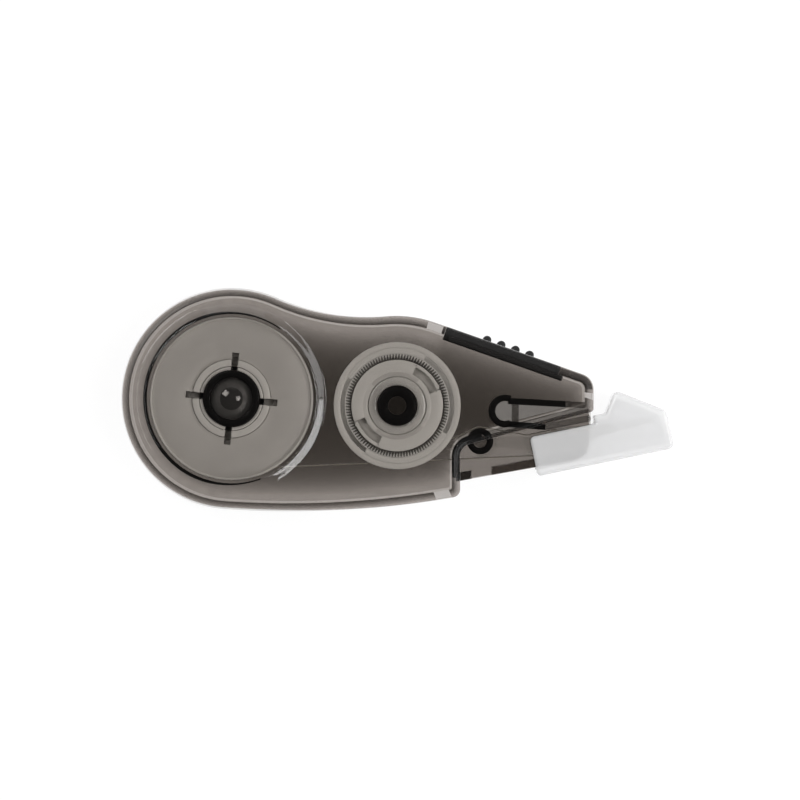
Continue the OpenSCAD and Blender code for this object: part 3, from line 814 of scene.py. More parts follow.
@dataclass(frozen=True)
class CaseHalf:
    """One half of the case: a hollow body with a rounded edge, and its half of the neck."""

    half: Half
    outline: CaseOutline = CaseOutline()
    wall: float = 1.2
    edge_r: float = 1.0
    seam: float = 0.1
    parting: float = 0.02
    draft: float = 0.3
    draft_to_x: float = 30.0
    inner_r: float = 0.18
    lean: float = 0.12
    # Painted shade: the back lids darken inwards past a start from the edge or the nose, over a fall, and
    # the neck takes an even share.
    painted_shade_from: float = 2.3
    painted_shade_over: float = 2.6
    neck_painted_shade: float = 0.25
    nose_from: float = 1.3
    pane: np.ndarray | None = None
    crown: float = 0.3
    crown_reach: float = 9.0
    dish_h: float = 0.8
    dish_from: float = 12.75
    dish_to: float = 14.15
    neck_step: float = 1.5
    neck_wall: float = 0.8
    neck_floor: float = 1.3
    neck_y: float = 12.3
    neck_angle: float = 10.2
    neck_end_x: float = 53.7
    neck_corner_r: float = 3.0
    neck_corner_to: float = -30.0
    neck_window_x: tuple[float, float] = (35.9, 38.9)
    window_lift: float = 3.3
    grip_window: tuple[float, float] = (3.45, 21.55)
    grip_window_lift: float = 3.55
    hump_window: tuple[float, float] = (22.0, 24.4)
    belly_window_x: tuple[float, float] = (30.65, 32.95)
    divide_window_to: float = 52.85
    nose_window_y: tuple[float, float] = (-0.2, 0.8)
    dish_inside: tuple[float, float] = (12.5, 12.9)
    dish_mix: tuple[float, float] = (0.8, 0.2)
    dish_margin: float = 0.2
    dish_rings: int = 15
    lid_spacing: float = 1.0

    def turned(self, surface: Surface) -> Surface:
        """The surface as it lies in this half: the back half is the front half's mirror image.

        Args:
            surface: A surface made for the front half.

        Returns:
            The same surface, mirrored at the split for the back half.
        """
        if self.half is Half.BACK:
            surface.points = np.column_stack([surface.points[:, :2], CASE_T - surface.points[:, 2]])
        return surface

    def stretches(self) -> list[tuple[np.ndarray, np.ndarray]]:
        """Points of the outline and the wall's windows.

        Returns:
            Parameters and wall lifts along each stretch, in the order of Stretch.
        """
        before, past = -0.1, 1.1
        window = self.window_lift
        arcs = self.outline.arcs(0.0)
        ends = [(c + r * around(a0), c + r * around(a1)) for c, r, a0, a1 in arcs]
        nose_corner, hump, _, _, _, heel, step, foot = ends
        grip_len = np.linalg.norm(hump[0] - nose_corner[1])
        _, hump_r, hump_a, waist_a = arcs[1]
        hump_len = hump_r * math.radians(abs(waist_a - hump_a))
        belly_c, belly_r, belly_a, heel_a = arcs[4]

        def on_belly(x: float) -> float:
            """Parameter of the belly's point at x."""
            drop = math.sqrt(belly_r ** 2 - (x - belly_c[0]) ** 2)
            return (bearing(np.array([x - belly_c[0], -drop])) - belly_a) / (heel_a - belly_a)

        step_low, step_top = heel[1][1], step[0][1]
        divide_from, divide_to = step[1][0], foot[0][0]
        nose_low, nose_top = foot[1][1], nose_corner[0][1]
        open_wall = CASE_T - self.neck_step - self.neck_wall - SPLIT_Z
        grip_from, grip_to = (along / grip_len for along in self.grip_window)
        grip_gap = Gap(grip_from, grip_to, self.grip_window_lift)
        slit_from = Gap(self.hump_window[0] / grip_len, past, window)
        slit_to = Gap(before, (self.hump_window[1] - grip_len) / hump_len, window)
        belly_gap = Gap(on_belly(self.belly_window_x[0]), on_belly(self.belly_window_x[1]), window)
        neck_in = (-self.neck_y + self.neck_floor - step_low) / (step_top - step_low)
        divide_end = (self.divide_window_to - divide_from) / (divide_to - divide_from)
        nose_from, nose_to = ((y - nose_low) / (nose_top - nose_low) for y in self.nose_window_y)
        return [
            broken(12, (), True),
            broken(8, (grip_gap, slit_from), False),
            broken(36, (slit_to,), True),
            broken(28, (), True),
            broken(120, (), True),
            broken(40, (belly_gap,), True),
            broken(8, (), True),
            broken(2, (Gap(neck_in, past, open_wall),), False),
            broken(14, (Gap(before, past, open_wall),), True),
            broken(8, (Gap(before, divide_end, open_wall),), False),
            broken(6, (), True),
            broken(2, (Gap(nose_from, nose_to, window),), False),
        ]

    def ring(self, d: float) -> np.ndarray:
        """The body's outline moved inwards, with the same points for every distance.

        Args:
            d: Distance inwards.

        Returns:
            Points in the order of Stretch, shape (n, 2).
        """
        arcs = iter(self.outline.arcs(d))
        straight = {Stretch.GRIP, Stretch.STEP_WALL, Stretch.DIVIDE, Stretch.NOSE}
        ways = [t for t, _ in self.stretches()]
        pieces = {}
        for k, t in enumerate(ways):
            if k not in straight:
                c, r, a0, a1 = next(arcs)
                pieces[k] = c + r * around(a0 + (a1 - a0) * np.clip(t, 0, 1))
        for k in straight:
            a = pieces[k - 1][-1]
            b = pieces[(k + 1) % len(Stretch)][0]
            pieces[k] = a + (b - a) * ways[k][:, None]
        return np.concatenate([pieces[k] for k in Stretch])

    def drafted(self, d: float) -> np.ndarray:
        """The outline moved inwards by d and by a draft that fades out from the reel end to draft_to_x.

        Args:
            d: Distance inwards without the draft.

        Returns:
            Points in the order of the outline, shape (n, 2).
        """
        outline = self.ring(d)
        share = smooth_step(1.0 - self.ring(0.0)[:, :1] / self.draft_to_x)
        return outline + share * (self.ring(d + self.draft) - outline)

    def edge_between(self, first: Stretch, last: Stretch) -> np.ndarray:
        """The outline from one stretch to before another and the same way back.

        Args:
            first: Stretch that the edge starts with.
            last: Stretch that it ends before.

        Returns:
            A closed loop of no width.
        """
        counts = [len(t) for t, _ in self.stretches()]
        way = self.ring(0.0)[sum(counts[:first]):sum(counts[:last])]
        return clean(np.vstack([way, way[-2:0:-1]]))

    def depth(self, flat: np.ndarray) -> np.ndarray:
        """Painted shade on a lid, darker away from the edge: 1 - exp(-s / fall), with s the lesser of two
        ways inwards.

        One way is counted from the edge between hump and heel, the other from the nose and the grip, each
        past its start distance; fall is the distance over which the shade deepens.

        Args:
            flat: Points of the lid, shape (n, 2).

        Returns:
            One depth for each point, from 0 to 1.
        """
        back = reach_to(flat, self.edge_between(Stretch.HUMP, Stretch.STEP_WALL)) - self.painted_shade_from
        nose = reach_to(flat, self.edge_between(Stretch.NOSE_CORNER, Stretch.HUMP)) - self.nose_from
        return 1.0 - np.exp(-np.maximum(0.0, np.minimum(back, nose)) / self.painted_shade_over)

    def lift(self) -> np.ndarray:
        """How far the wall's rim lies above the split at each point of the outline."""
        return np.concatenate([lift for _, lift in self.stretches()])

    def rim_finish(self) -> np.ndarray:
        """Finish of the wall's rim behind each point of the outline.

        A window is clear, the divide is like a pane, the step is black and the nose and grip are dark.

        Returns:
            The place in the shell's list of finishes, for each point.
        """
        lift = self.lift()
        number = np.concatenate([np.full(len(t), k) for k, (t, _) in enumerate(self.stretches())])
        opened = (lift > 0) & (np.roll(lift, -1) > 0)
        nose = (number == Stretch.NOSE_CORNER) | (number == Stretch.GRIP) & ~opened
        step = (number == Stretch.STEP_WALL) | (number == Stretch.STEP)
        kind = np.where(opened, ShellFinish.WINDOW.value, ShellFinish.EDGE.value)
        kind = np.where(number == Stretch.DIVIDE, ShellFinish.PANE.value, kind)
        kind = np.where(nose, ShellFinish.NOSE.value, kind)
        return np.where(step, ShellFinish.RIB.value, kind)

    def top(self, flat: np.ndarray, loop: np.ndarray, face: float, dish: tuple[float, float]) -> np.ndarray:
        """Heights of a lid: a crown that falls with the square of the nearness to the edge, and the dish.

        Args:
            flat: Points of the lid.
            loop: The lid's edge.
            face: Height of the lid's middle.
            dish: Radii between which the dish falls to the face.

        Returns:
            One height for each point.
        """
        if self.half is Half.BACK:
            return np.full(len(flat), face)
        near = np.maximum(0.0, 1.0 - reach_to(flat, loop) / self.crown_reach)
        base = face - self.crown * near ** 2
        way = np.clip((dish[1] - np.linalg.norm(flat, axis=1)) / (dish[1] - dish[0]), 0.0, 1.0)
        straight, soft = self.dish_mix
        share = straight * way + soft * smooth_step(way)
        return base + share * (face + self.dish_h - base)

    def skin(self) -> list[Surface]:
        """Outer skin, wall and rim of the body: a profile carried round the outline.

        Returns:
            The skin, the wall, and one strip of the rim for each finish.
        """
        rim = SPLIT_Z + self.parting + self.lift()
        top = CASE_T - (self.crown if self.half is Half.FRONT else 0.0)
        ceiling = top - self.wall
        flat = np.zeros(len(rim))
        outer = [(self.drafted(d), flat + top - drop) for d, drop in reversed(edge_round(self.edge_r, 6))]
        outer += [(self.ring(0.0), rim + self.seam), (self.ring(self.seam), rim)]
        inner = [(self.ring(self.wall), rim)]
        inner += [(self.ring(self.wall + self.lean + d), flat + ceiling - drop)
                  for d, drop in edge_round(self.inner_r, 3)]
        rows = np.stack([np.column_stack([outline, z]) for outline, z in outer + inner])
        count = len(outer)
        strip = grid(rows[count - 1:count + 1], wrap_v=True)
        across = np.repeat([0.0, 1.0], len(rim))
        kinds = self.rim_finish()
        skin = grid(rows[:count], ShellFinish.BEND.value, wrap_v=True)
        wall = grid(rows[count:], ShellFinish.WALL.value, wrap_v=True)
        # Painted shade on the wall's rim row, which the wall's finish has no second tint to show.
        wall.depth = np.repeat([1.0, 0.0], [len(rim), len(wall.points) - len(rim)])
        # The rim's strips get painted shade, darker towards the inner side of the wall.
        return [skin, wall] + [Surface(strip.points, [strip.blocks[0][kinds == kind]], int(kind), across)
                               for kind in np.unique(kinds)]

    def lid(self, edge: np.ndarray, face: float, dish: tuple[float, float]) -> list[Surface]:
        """One lid of the body, with the dish in front or the pane at the back.

        Args:
            edge: The lid's edge, shape (n, 2).
            face: Height of the lid's middle.
            dish: Radii between which the dish falls to the face.

        Returns:
            The lid and its pane, which has no faces in the front half.
        """
        loop = clean(edge)
        if self.half is Half.FRONT:
            radii = np.linspace(dish[0] - self.dish_margin, dish[1] + self.dish_margin, self.dish_rings)
            guides = [r * around(full_turn(360)) for r in radii]
        else:
            guides = [self.pane]
        points, triangles = filled(loop, guides, self.lid_spacing)
        place = np.column_stack([points, self.top(points, loop, face, dish)])
        # Painted shade of the floor's shadow under the case, darker away from the edge; only the back's
        # smoke has a second tint to show it.
        depth = self.depth(points)
        within = np.full(len(triangles), False)
        if self.half is Half.BACK:
            within = inside(points[triangles].mean(axis=1), self.pane)
        return [Surface(place, [triangles[~within]], ShellFinish.OWN.value, depth),
                Surface(place, [triangles[within]], ShellFinish.PANE.value, depth)]

    def tray(self) -> list[Surface]:
        """The hollow body: its skin, wall and rim, and a lid on the outside and on the inside."""
        inner_edge = self.ring(self.wall + self.lean + self.inner_r)
        return [*self.skin(),
                *self.lid(self.drafted(self.edge_r), CASE_T, (self.dish_from, self.dish_to)),
                *self.lid(inner_edge, CASE_T - self.wall, self.dish_inside)]

    def neck(self) -> list[Surface]:
        """The neck: a cheek with a rounded front corner, and its floor on both sides of a window.

        Returns:
            The cheek, the floor behind the window and the floor in front of it.
        """
        o = self.outline
        high = CASE_T - self.neck_step
        low = high - self.neck_wall
        rise = math.tan(math.radians(self.neck_angle))
        start = o.step_x - self.wall / 2

        def floor_at(x: float) -> float:
            """Height of the neck's underside."""
            return -self.neck_y + (x - o.step_x) * rise

        over = self.wall / 2
        t = self.neck_floor
        corner_r = self.neck_corner_r
        cheek = np.array([
            [start, floor_at(start), 0.1],
            [self.neck_end_x, floor_at(self.neck_end_x), corner_r],
            [self.neck_end_x, o.divide_y(self.neck_end_x) + over, 0.2],
            [start, o.divide_y(start) + over, 0.1]])
        centre_x = self.neck_end_x - corner_r
        centre_y = floor_at(centre_x) + corner_r / math.cos(math.radians(self.neck_angle))
        centre = np.array([centre_x, centre_y])
        sweep = sector(self.neck_angle - 90.0, self.neck_corner_to, 8)
        end, again = self.neck_window_x
        back = np.array([[start, floor_at(start)], [end, floor_at(end)],
                         [end, floor_at(end) + t], [start, floor_at(start) + t]])
        front = np.vstack([[again, floor_at(again)], centre + corner_r * around(sweep),
                           centre + (corner_r - t) * around(sweep[::-1]), [again, floor_at(again) + t]])
        rim = SPLIT_Z + self.parting
        roof = low + LAP
        parts = [block(cheek, low, high, 0.3), prism(back, rim, roof, finish=ShellFinish.PANE.value),
                 prism(front, rim, roof)]
        # Even painted shade on the neck's parts.
        for part in parts:
            part.depth = np.full(len(part.points), self.neck_painted_shade)
        return parts

    def build(self) -> list[Surface]:
        """All surfaces of the half, in place."""
        return [self.turned(s) for s in self.tray() + self.neck()]


@dataclass(frozen=True)
class Case:
    """The case: two halves with what is moulded onto them, and the domed plug."""

    axle_top: float = 11.5
    supply_axle: tuple[float, float] = (4.2, 3.15)
    take_up_axle: tuple[float, float] = (3.0, 1.35)
    collar: float = 1.4
    collar_top: float = 2.5
    post_bore: float = 1.0
    post_top: float = 10.6
    latch: tuple[float, float] = (40.95, -1.85)
    latch_r: tuple[float, float] = (2.45, 1.5)
    latch_sweep: tuple[float, float] = (67.0, 293.0)
    latch_end_x: float = 52.85
    arm_drop: float = 0.45
    arm_end: float = 0.4
    arm_root: float = 0.5
    arm_turn_x: float = 46.95
    arm_dark_to: float = 3.0
    elbow_y: tuple[float, float] = (-4.7, -3.8)
    latch_tip: tuple[float, float] = (53.3, -2.85)
    tip_r: float = 0.45
    tip_drop: float = 0.55
    stop_x: tuple[float, float] = (1.05, 2.1)
    stop_drop: float = 0.3
    stop_top: float = 4.2
    pane_margin: float = 0.3
    pane_end: tuple[tuple[float, float], ...] = ((42.6, -3.3), (50.6, -1.2), (50.6, -0.6))
    guard_r: tuple[float, float] = (12.65, 13.0)
    guard_z: tuple[float, float] = (9.85, 11.85)
    # The guard's black arc is painted shadow in the gap round the supply disc: its span, tapers and swell.
    painted_shadow_span: tuple[float, float] = (55.0, 290.0)
    painted_shadow_taper: tuple[float, float] = (75.0, 55.0)
    painted_shadow_swell: float = 0.3
    boss_gap: float = 0.2
    boss_wall: float = 1.0
    boss_z: tuple[float, float] = (10.85, 11.9)
    spigot: float = 2.2
    stub_r: float = 1.3
    pin_r: float = 0.95
    pin_z: tuple[float, float] = (10.7, 11.1)
    floor_z: float = 1.2
    sink: float = 0.2
    neck_low: float = 2.3
    plug_r: float = 3.1
    plug_proud: float = 0.2
    plug_edge: float = 0.2
    dome_r: float = 4.2
    dome_half: float = 24.0
    shoulder_slope: float = 29.0

    def front(self) -> bpy.types.Object:
        """The front shell with a guard round the supply disc, its boss over the ratchet and two spigots;
        the guard's black arc is painted shadow in the gap round the disc.

        Returns:
            The piece.
        """
        boss = self.take_up_axle[0] + self.boss_gap
        low, high = self.guard_z
        bore, r = self.guard_r
        start, end = self.painted_shadow_span
        rise, fall = self.painted_shadow_taper
        window = ShellFinish.WINDOW.value
        parts = CaseHalf(Half.FRONT).build()
        # Painted shadow: the guard's black arc swells in its middle and tapers to both ends; the rest of
        # the guard is clear.
        turn = sector(start, end, 120)
        swell = smooth_step((turn - start) / rise) * smooth_step((end - turn) / fall)
        dark = Ring(bore, r - self.painted_shadow_swell / 2 + self.painted_shadow_swell * swell, low, high, turn, 0.05, True)
        parts.append(dark.surface(SUPPLY, ShellFinish.RIB.value))
        clear = Ring(bore, r, low, high, sector(end, start + 360.0, 70), 0.08, True)
        parts.append(clear.surface(SUPPLY, window))
        parts.append(Ring(boss, boss + self.boss_wall, *self.boss_z).surface(TAKE_UP, window))
        for pin_r, rim, root, centre in ((self.stub_r, self.axle_top, self.boss_z[1], TAKE_UP),
                                         (self.pin_r, *self.pin_z, POST)):
            tip = rim - self.spigot
            pin = np.array([[0, tip], [pin_r, tip], [pin_r, root], [0, root]])
            parts.append(lathe(pin, centre, ShellFinish.PANE.value, 48))
        return Piece("front_shell", "case", "smoke_plastic", (
            Kit.FRONT_SMOKE, Kit.RIB_SMOKE, Kit.EDGE_SMOKE, Kit.WINDOW_SMOKE, Kit.PANE_SMOKE,
            Kit.WALL_SMOKE, Kit.NOSE_SMOKE, Kit.FRONT_BEND)).build(parts)

    def pane(self) -> np.ndarray:
        """Outline of the pane inside the latch rib: its round end, and the lines to where its arms meet.

        Returns:
            Points in order, shape (n, 2).
        """
        r = self.latch_r[1] + self.pane_margin
        end = np.array(self.latch) + r * around(sector(*self.latch_sweep, 40))
        return np.vstack([end, *self.pane_end])

    def latch_rib(self) -> list[Surface]:
        """The rib round the latch slot: a round end, a fixed upper arm, a springy lower arm and a stop.

        Returns:
            The round end, the upper arm in two parts, the lower arm in two parts, and the stop.
        """
        x, y = self.latch
        r, bore = self.latch_r
        low = self.floor_z - self.sink
        top = self.post_top
        rib = ShellFinish.RIB.value
        edge = ShellFinish.PANE.value
        root_x = x + self.arm_root
        meet_x = self.arm_turn_x + self.arm_dark_to
        under = bore - self.arm_drop
        fall = (self.arm_end - under) / (self.latch_end_x - x)
        lower = y + under
        upper = y + under + r - bore
        arms = [np.array([[a, lower + (a - x) * fall], [b, lower + (b - x) * fall],
                          [b, upper + (b - x) * fall], [a, upper + (a - x) * fall]])
                for a, b in ((root_x, meet_x), (meet_x, self.latch_end_x))]
        tip_x, tip_y = self.latch_tip
        elbow = np.array([[self.arm_turn_x, elbow_y] for elbow_y in self.elbow_y])
        root = np.array([[root_x, y - r + 0.05], elbow[0], elbow[1], [root_x, y - bore]])
        spring = np.array([
            [*elbow[0], 0.1], [tip_x + self.tip_r, tip_y - self.tip_drop, self.tip_r],
            [tip_x + self.tip_r, tip_y + self.tip_r, self.tip_r], [*elbow[1], 0.1]])
        near, far = self.stop_x
        foot = y - bore - self.stop_drop
        head = y + bore - self.stop_drop
        stop = np.array([[x + near, foot], [x + far, foot], [x + far, head], [x + near, head]])
        bend = Ring(bore, r, low, top, sector(*self.latch_sweep, 40), 0.1, True)
        return [bend.surface(np.array(self.latch), rib),
                prism(arms[0], low, top, 0.1, rib), prism(arms[1], low, top, 0.1, edge),
                prism(root, self.neck_low, top, 0.1, rib), block(spring, self.neck_low, top, 0.1, edge),
                prism(stop, low, self.stop_top, 0.1, edge)]

    def back(self) -> bpy.types.Object:
        """The back shell with its two axles, the guide post and the latch rib.

        Returns:
            The piece.
        """
        low = self.floor_z - self.sink
        rib = ShellFinish.RIB.value
        parts = CaseHalf(Half.BACK, pane=self.pane()).build() + self.latch_rib()
        for (r, bore), centre in ((self.supply_axle, SUPPLY), (self.take_up_axle, TAKE_UP)):
            parts.append(Ring(bore, r, low, self.axle_top, bevel=0.15).surface(centre, rib))
            parts.append(Ring(r - 0.05, r + self.collar, low, self.collar_top).surface(centre))
        post = Ring(self.post_bore, POST_R, self.neck_low - self.sink, self.post_top)
        parts.append(post.surface(POST, rib))
        return Piece("back_shell", "case", "smoke_plastic", (
            Kit.BACK_SMOKE, Kit.RIB_SMOKE, Kit.EDGE_SMOKE, Kit.WINDOW_SMOKE, Kit.PANE_SMOKE,
            Kit.WALL_SMOKE, Kit.NOSE_SMOKE, Kit.BACK_BEND)).build(parts)

    def plug(self) -> bpy.types.Object:
        """The plug in the supply axle: a cylinder with a slanted shoulder and a spherical top; the
        shoulder's lighter finish is painted reflection.

        Returns:
            The piece.
        """
        r = self.plug_r
        top = self.axle_top + self.plug_proud
        a = np.radians(np.linspace(self.dome_half, 0.0, 20))
        dome = np.column_stack([self.dome_r * np.sin(a), top - self.dome_r + self.dome_r * np.cos(a)])
        shoulder = dome[0, 1] - (r - dome[0, 0]) * math.tan(math.radians(self.shoulder_slope))
        low = self.floor_z
        side = np.array([[0, low], [r - self.plug_edge, low], [r, low + self.plug_edge], [r, shoulder]])
        # The shoulder takes the lighter finish: painted reflection round the dome.
        parts = [lathe(dome, SUPPLY), lathe(np.vstack([side, dome[:1]]), SUPPLY, 1)]
        return Piece("axle_pin", "case", "black_plastic", (Kit.DOME, Kit.SHOULDER_PAINTED_REFLECTION), 50.0).build(parts)

    def build(self) -> None:
        """Make the two shells, the grip and the plug."""
        self.front()
        self.back()
        Grip().build()
        self.plug()


@dataclass(frozen=True)
class Grip:
    """The rubber grip: a bar in the case's slot, a lip behind the wall and a row of rounded nubs.

    It is made with x along the slanted edge, y into the case and z across it.
    """

    outline: CaseOutline = CaseOutline()
    wall: float = 1.2
    lip: float = 0.8
    lip_t: float = 0.8
    start: float = 3.5
    length: float = 18.0
    half: float = 3.5
    nubs: int = 4
    first_nub: float = 4.95
    nub_pitch: float = 2.25
    nub_r: float = 0.64
    nub_y: float = -0.1
    nub_short: float = 0.5

    def build(self) -> bpy.types.Object:
        """Make the bar, the lip and the nubs, and lay them onto the edge.

        Returns:
            The piece.
        """
        start = self.start
        end = start + self.length
        deep = self.wall + self.lip_t
        behind = self.wall + 0.05
        bar = np.array([[start, 0, 0.1], [end, 0, 0.1], [end, deep, 0.1], [start, deep, 0.1]])
        back = np.array([[start - self.lip, behind, 0.1], [end - self.lip, behind, 0.1],
                         [end - self.lip, deep, 0.1], [start - self.lip, deep, 0.1]])
        reach = self.half + self.lip
        parts = [block(bar, -self.half, self.half, 0.25), block(back, -reach, reach, 0.2)]
        nub = self.nub_r * around(full_turn(48))
        nub_half = self.half - self.nub_short
        for k in range(self.nubs):
            middle = np.array([start + self.first_nub + self.nub_pitch * k, self.nub_y])
            parts.append(prism(middle + nub, -nub_half, nub_half, 0.3))
        o = self.outline
        out = 90.0 - o.grip_angle
        origin = np.array([o.nose_x - o.nose_r, o.nose_top_y]) + o.nose_r * around(out)
        for part in parts:
            along, inwards = part.points[:, :1], part.points[:, 1:2]
            flat = origin + along * around(out + 90.0) + inwards * around(out + 180.0)
            part.points = np.column_stack([flat, part.points[:, 2] + SPLIT_Z])
        return Piece("grip_pad", "case", "black_rubber", (Kit.RUBBER,)).build(parts)


@dataclass(frozen=True)
class Gear:
    """A spur gear with stub teeth."""

    teeth: int
    turn: float
    module: float = 0.8
    backlash: float = 0.12
    addendum: float = 0.7
    dedendum: float = 0.95
    flank: float = 20.0

    def rim(self) -> tuple[np.ndarray, np.ndarray]:
        """Corners of the teeth: root, tip, tip and root for each tooth, with straight flanks.

        Returns:
            Angles in degrees and radii, in order round the gear.
        """
        r = self.module * self.teeth / 2
        tip = r + self.addendum * self.module
        root = r - self.dedendum * self.module
        half = self.module * math.pi / 4 - self.backlash
        lean = math.tan(math.radians(self.flank))
        corners = np.array([[root, -half - (r - root) * lean], [tip, -half + (tip - r) * lean],
                            [tip, half - (tip - r) * lean], [root, half + (r - root) * lean]])
        k = np.arange(self.teeth)[:, None]
        angles = 360.0 * k / self.teeth + np.degrees(corners[:, 1] / corners[:, 0])[None, :] + self.turn
        radii = np.broadcast_to(corners[:, 0], angles.shape)
        return angles.ravel(), radii.ravel()


def slotted(inner: float, deep: float, half_width: float, turn: float) -> tuple[np.ndarray, np.ndarray]:
    """Angles and radii of a round eye with four radial slots in its edge.

    Args:
        inner: Radius of the eye.
        deep: Radius of the slots' ends.
        half_width: Half the width of a slot.
        turn: Angle of the first slot in degrees.

    Returns:
        Angles and radii, in order round the eye.
    """
    at_eye = math.degrees(math.asin(half_width / inner))
    at_end = math.degrees(math.asin(half_width / deep))
    arc = np.linspace(at_eye, 90 - at_eye, 25)
    angles = np.concatenate([[-at_end, at_end], arc])
    radii = np.concatenate([[deep, deep], np.full(len(arc), inner)])
    k = 90.0 * np.arange(4)[:, None]
    return (k + angles[None, :] + turn).ravel(), np.broadcast_to(radii, (4, len(radii))).ravel()


@dataclass(frozen=True)
class SupplyReel:
    """The supply reel: gear with a split hub, core, front disc and wound tape."""

    gear: Gear = Gear(36, -REEL_SLOPE)
    gear_z: tuple[float, float] = (2.6, 4.2)
    plate_r: float = 10.2
    plate_top: float = 4.35
    bore: float = 4.26
    hub_r: float = 4.76
    hub_foot_z: tuple[float, float] = (4.3, 5.25)
    hub_z: tuple[float, float] = (5.2, 10.95)
    core_bore: float = 4.82
    core_r: float = 5.85
    core_z: tuple[float, float] = (9.9, 11.05)
    seat_r: float = 6.4
    seat_foot_z: tuple[float, float] = (5.2, 8.75)
    seat_z: tuple[float, float] = (8.7, 9.94)
    # A thin dark ring over the roll: painted shade seen in the disc's slots.
    painted_shade_ring_r: float = 7.0
    painted_shade_ring_z: tuple[float, float] = (9.75, 9.92)
    disc_r: float = 12.2
    back_z: tuple[float, float] = (4.45, 5.25)
    front_z: tuple[float, float] = (9.95, 10.75)
    eye_r: float = 5.9
    slot_end_r: float = 6.9
    slot_turn: float = -5.5
    slot_half: float = 0.5
    lip_r: float = 11.9
    lip_z: tuple[float, float] = (10.6, 11.05)
    roll_bore: float = 6.45

    def quarters(self, inner: float, outer: float, z: tuple[float, float],
                 bevel: float = 0.08) -> list[Surface]:
        """Four parts of a ring with a slot between each two.

        Args:
            inner: Inner radius.
            outer: Outer radius.
            z: Heights of the two ends.
            bevel: Radius of the edges.

        Returns:
            One closed surface for each part.
        """
        side = math.degrees(math.asin(self.slot_half / ((inner + outer) / 2)))
        spans = [(90 * k + self.slot_turn + side, 90 * k + 90 + self.slot_turn - side) for k in range(4)]
        return [Ring(inner, outer, *z, sector(*span), bevel, True).surface(SUPPLY) for span in spans]

    def build(self) -> None:
        """Make the reel's four pieces."""
        angles, tips = self.gear.rim()
        low, high = self.gear_z
        gear = [Ring(self.bore, tips, low, high, angles).surface(SUPPLY),
                Ring(self.bore, self.plate_r, high - LAP, self.plate_top, bevel=0.05).surface(SUPPLY),
                Ring(self.bore, self.hub_r, *self.hub_foot_z, bevel=0.05).surface(SUPPLY, 1)]
        for finger in self.quarters(self.bore, self.hub_r, self.hub_z):
            finger.finish = 1
            gear.append(finger)
        Piece("supply_gear", "supply_drive", "clear_gear", (Kit.GEAR_CLEAR, Kit.WHITE)).build(gear)
        core = [Ring(self.core_bore, self.disc_r, *self.back_z).surface(SUPPLY),
                Ring(self.core_bore, self.seat_r, *self.seat_foot_z).surface(SUPPLY)]
        # Painted shade: the seat's quarters and the thin ring over the roll take the dark finish, seen in
        # the disc's slots.
        seat = self.quarters(self.core_bore, self.seat_r, self.seat_z)
        seat.append(Ring(self.seat_r - LAP, self.painted_shade_ring_r, *self.painted_shade_ring_z, bevel=0.02).surface(SUPPLY))
        for part in seat:
            part.finish = 1
        core += seat + self.quarters(self.core_bore, self.core_r, self.core_z, 0.12)
        Piece("tape_core", "supply_reel", "white_plastic", (Kit.WHITE, Kit.SHADED)).build(core)
        angles, eye = slotted(self.eye_r, self.slot_end_r, self.slot_half, self.slot_turn)
        disc = [Ring(eye, self.disc_r, *self.front_z, angles, 0.12).surface(SUPPLY),
                Ring(self.lip_r, self.disc_r, *self.lip_z, bevel=0.12).surface(SUPPLY, 1)]
        Piece("supply_disc", "supply_reel", "white_plastic", (Kit.PALE, Kit.WHITE)).build(disc)
        roll = [Ring(self.roll_bore, ROLL_R, *TAPE_Z, bevel=0.05).surface(SUPPLY)]
        Piece("tape_roll", "supply_reel", "white_tape", (Kit.TAPE,)).build(roll)


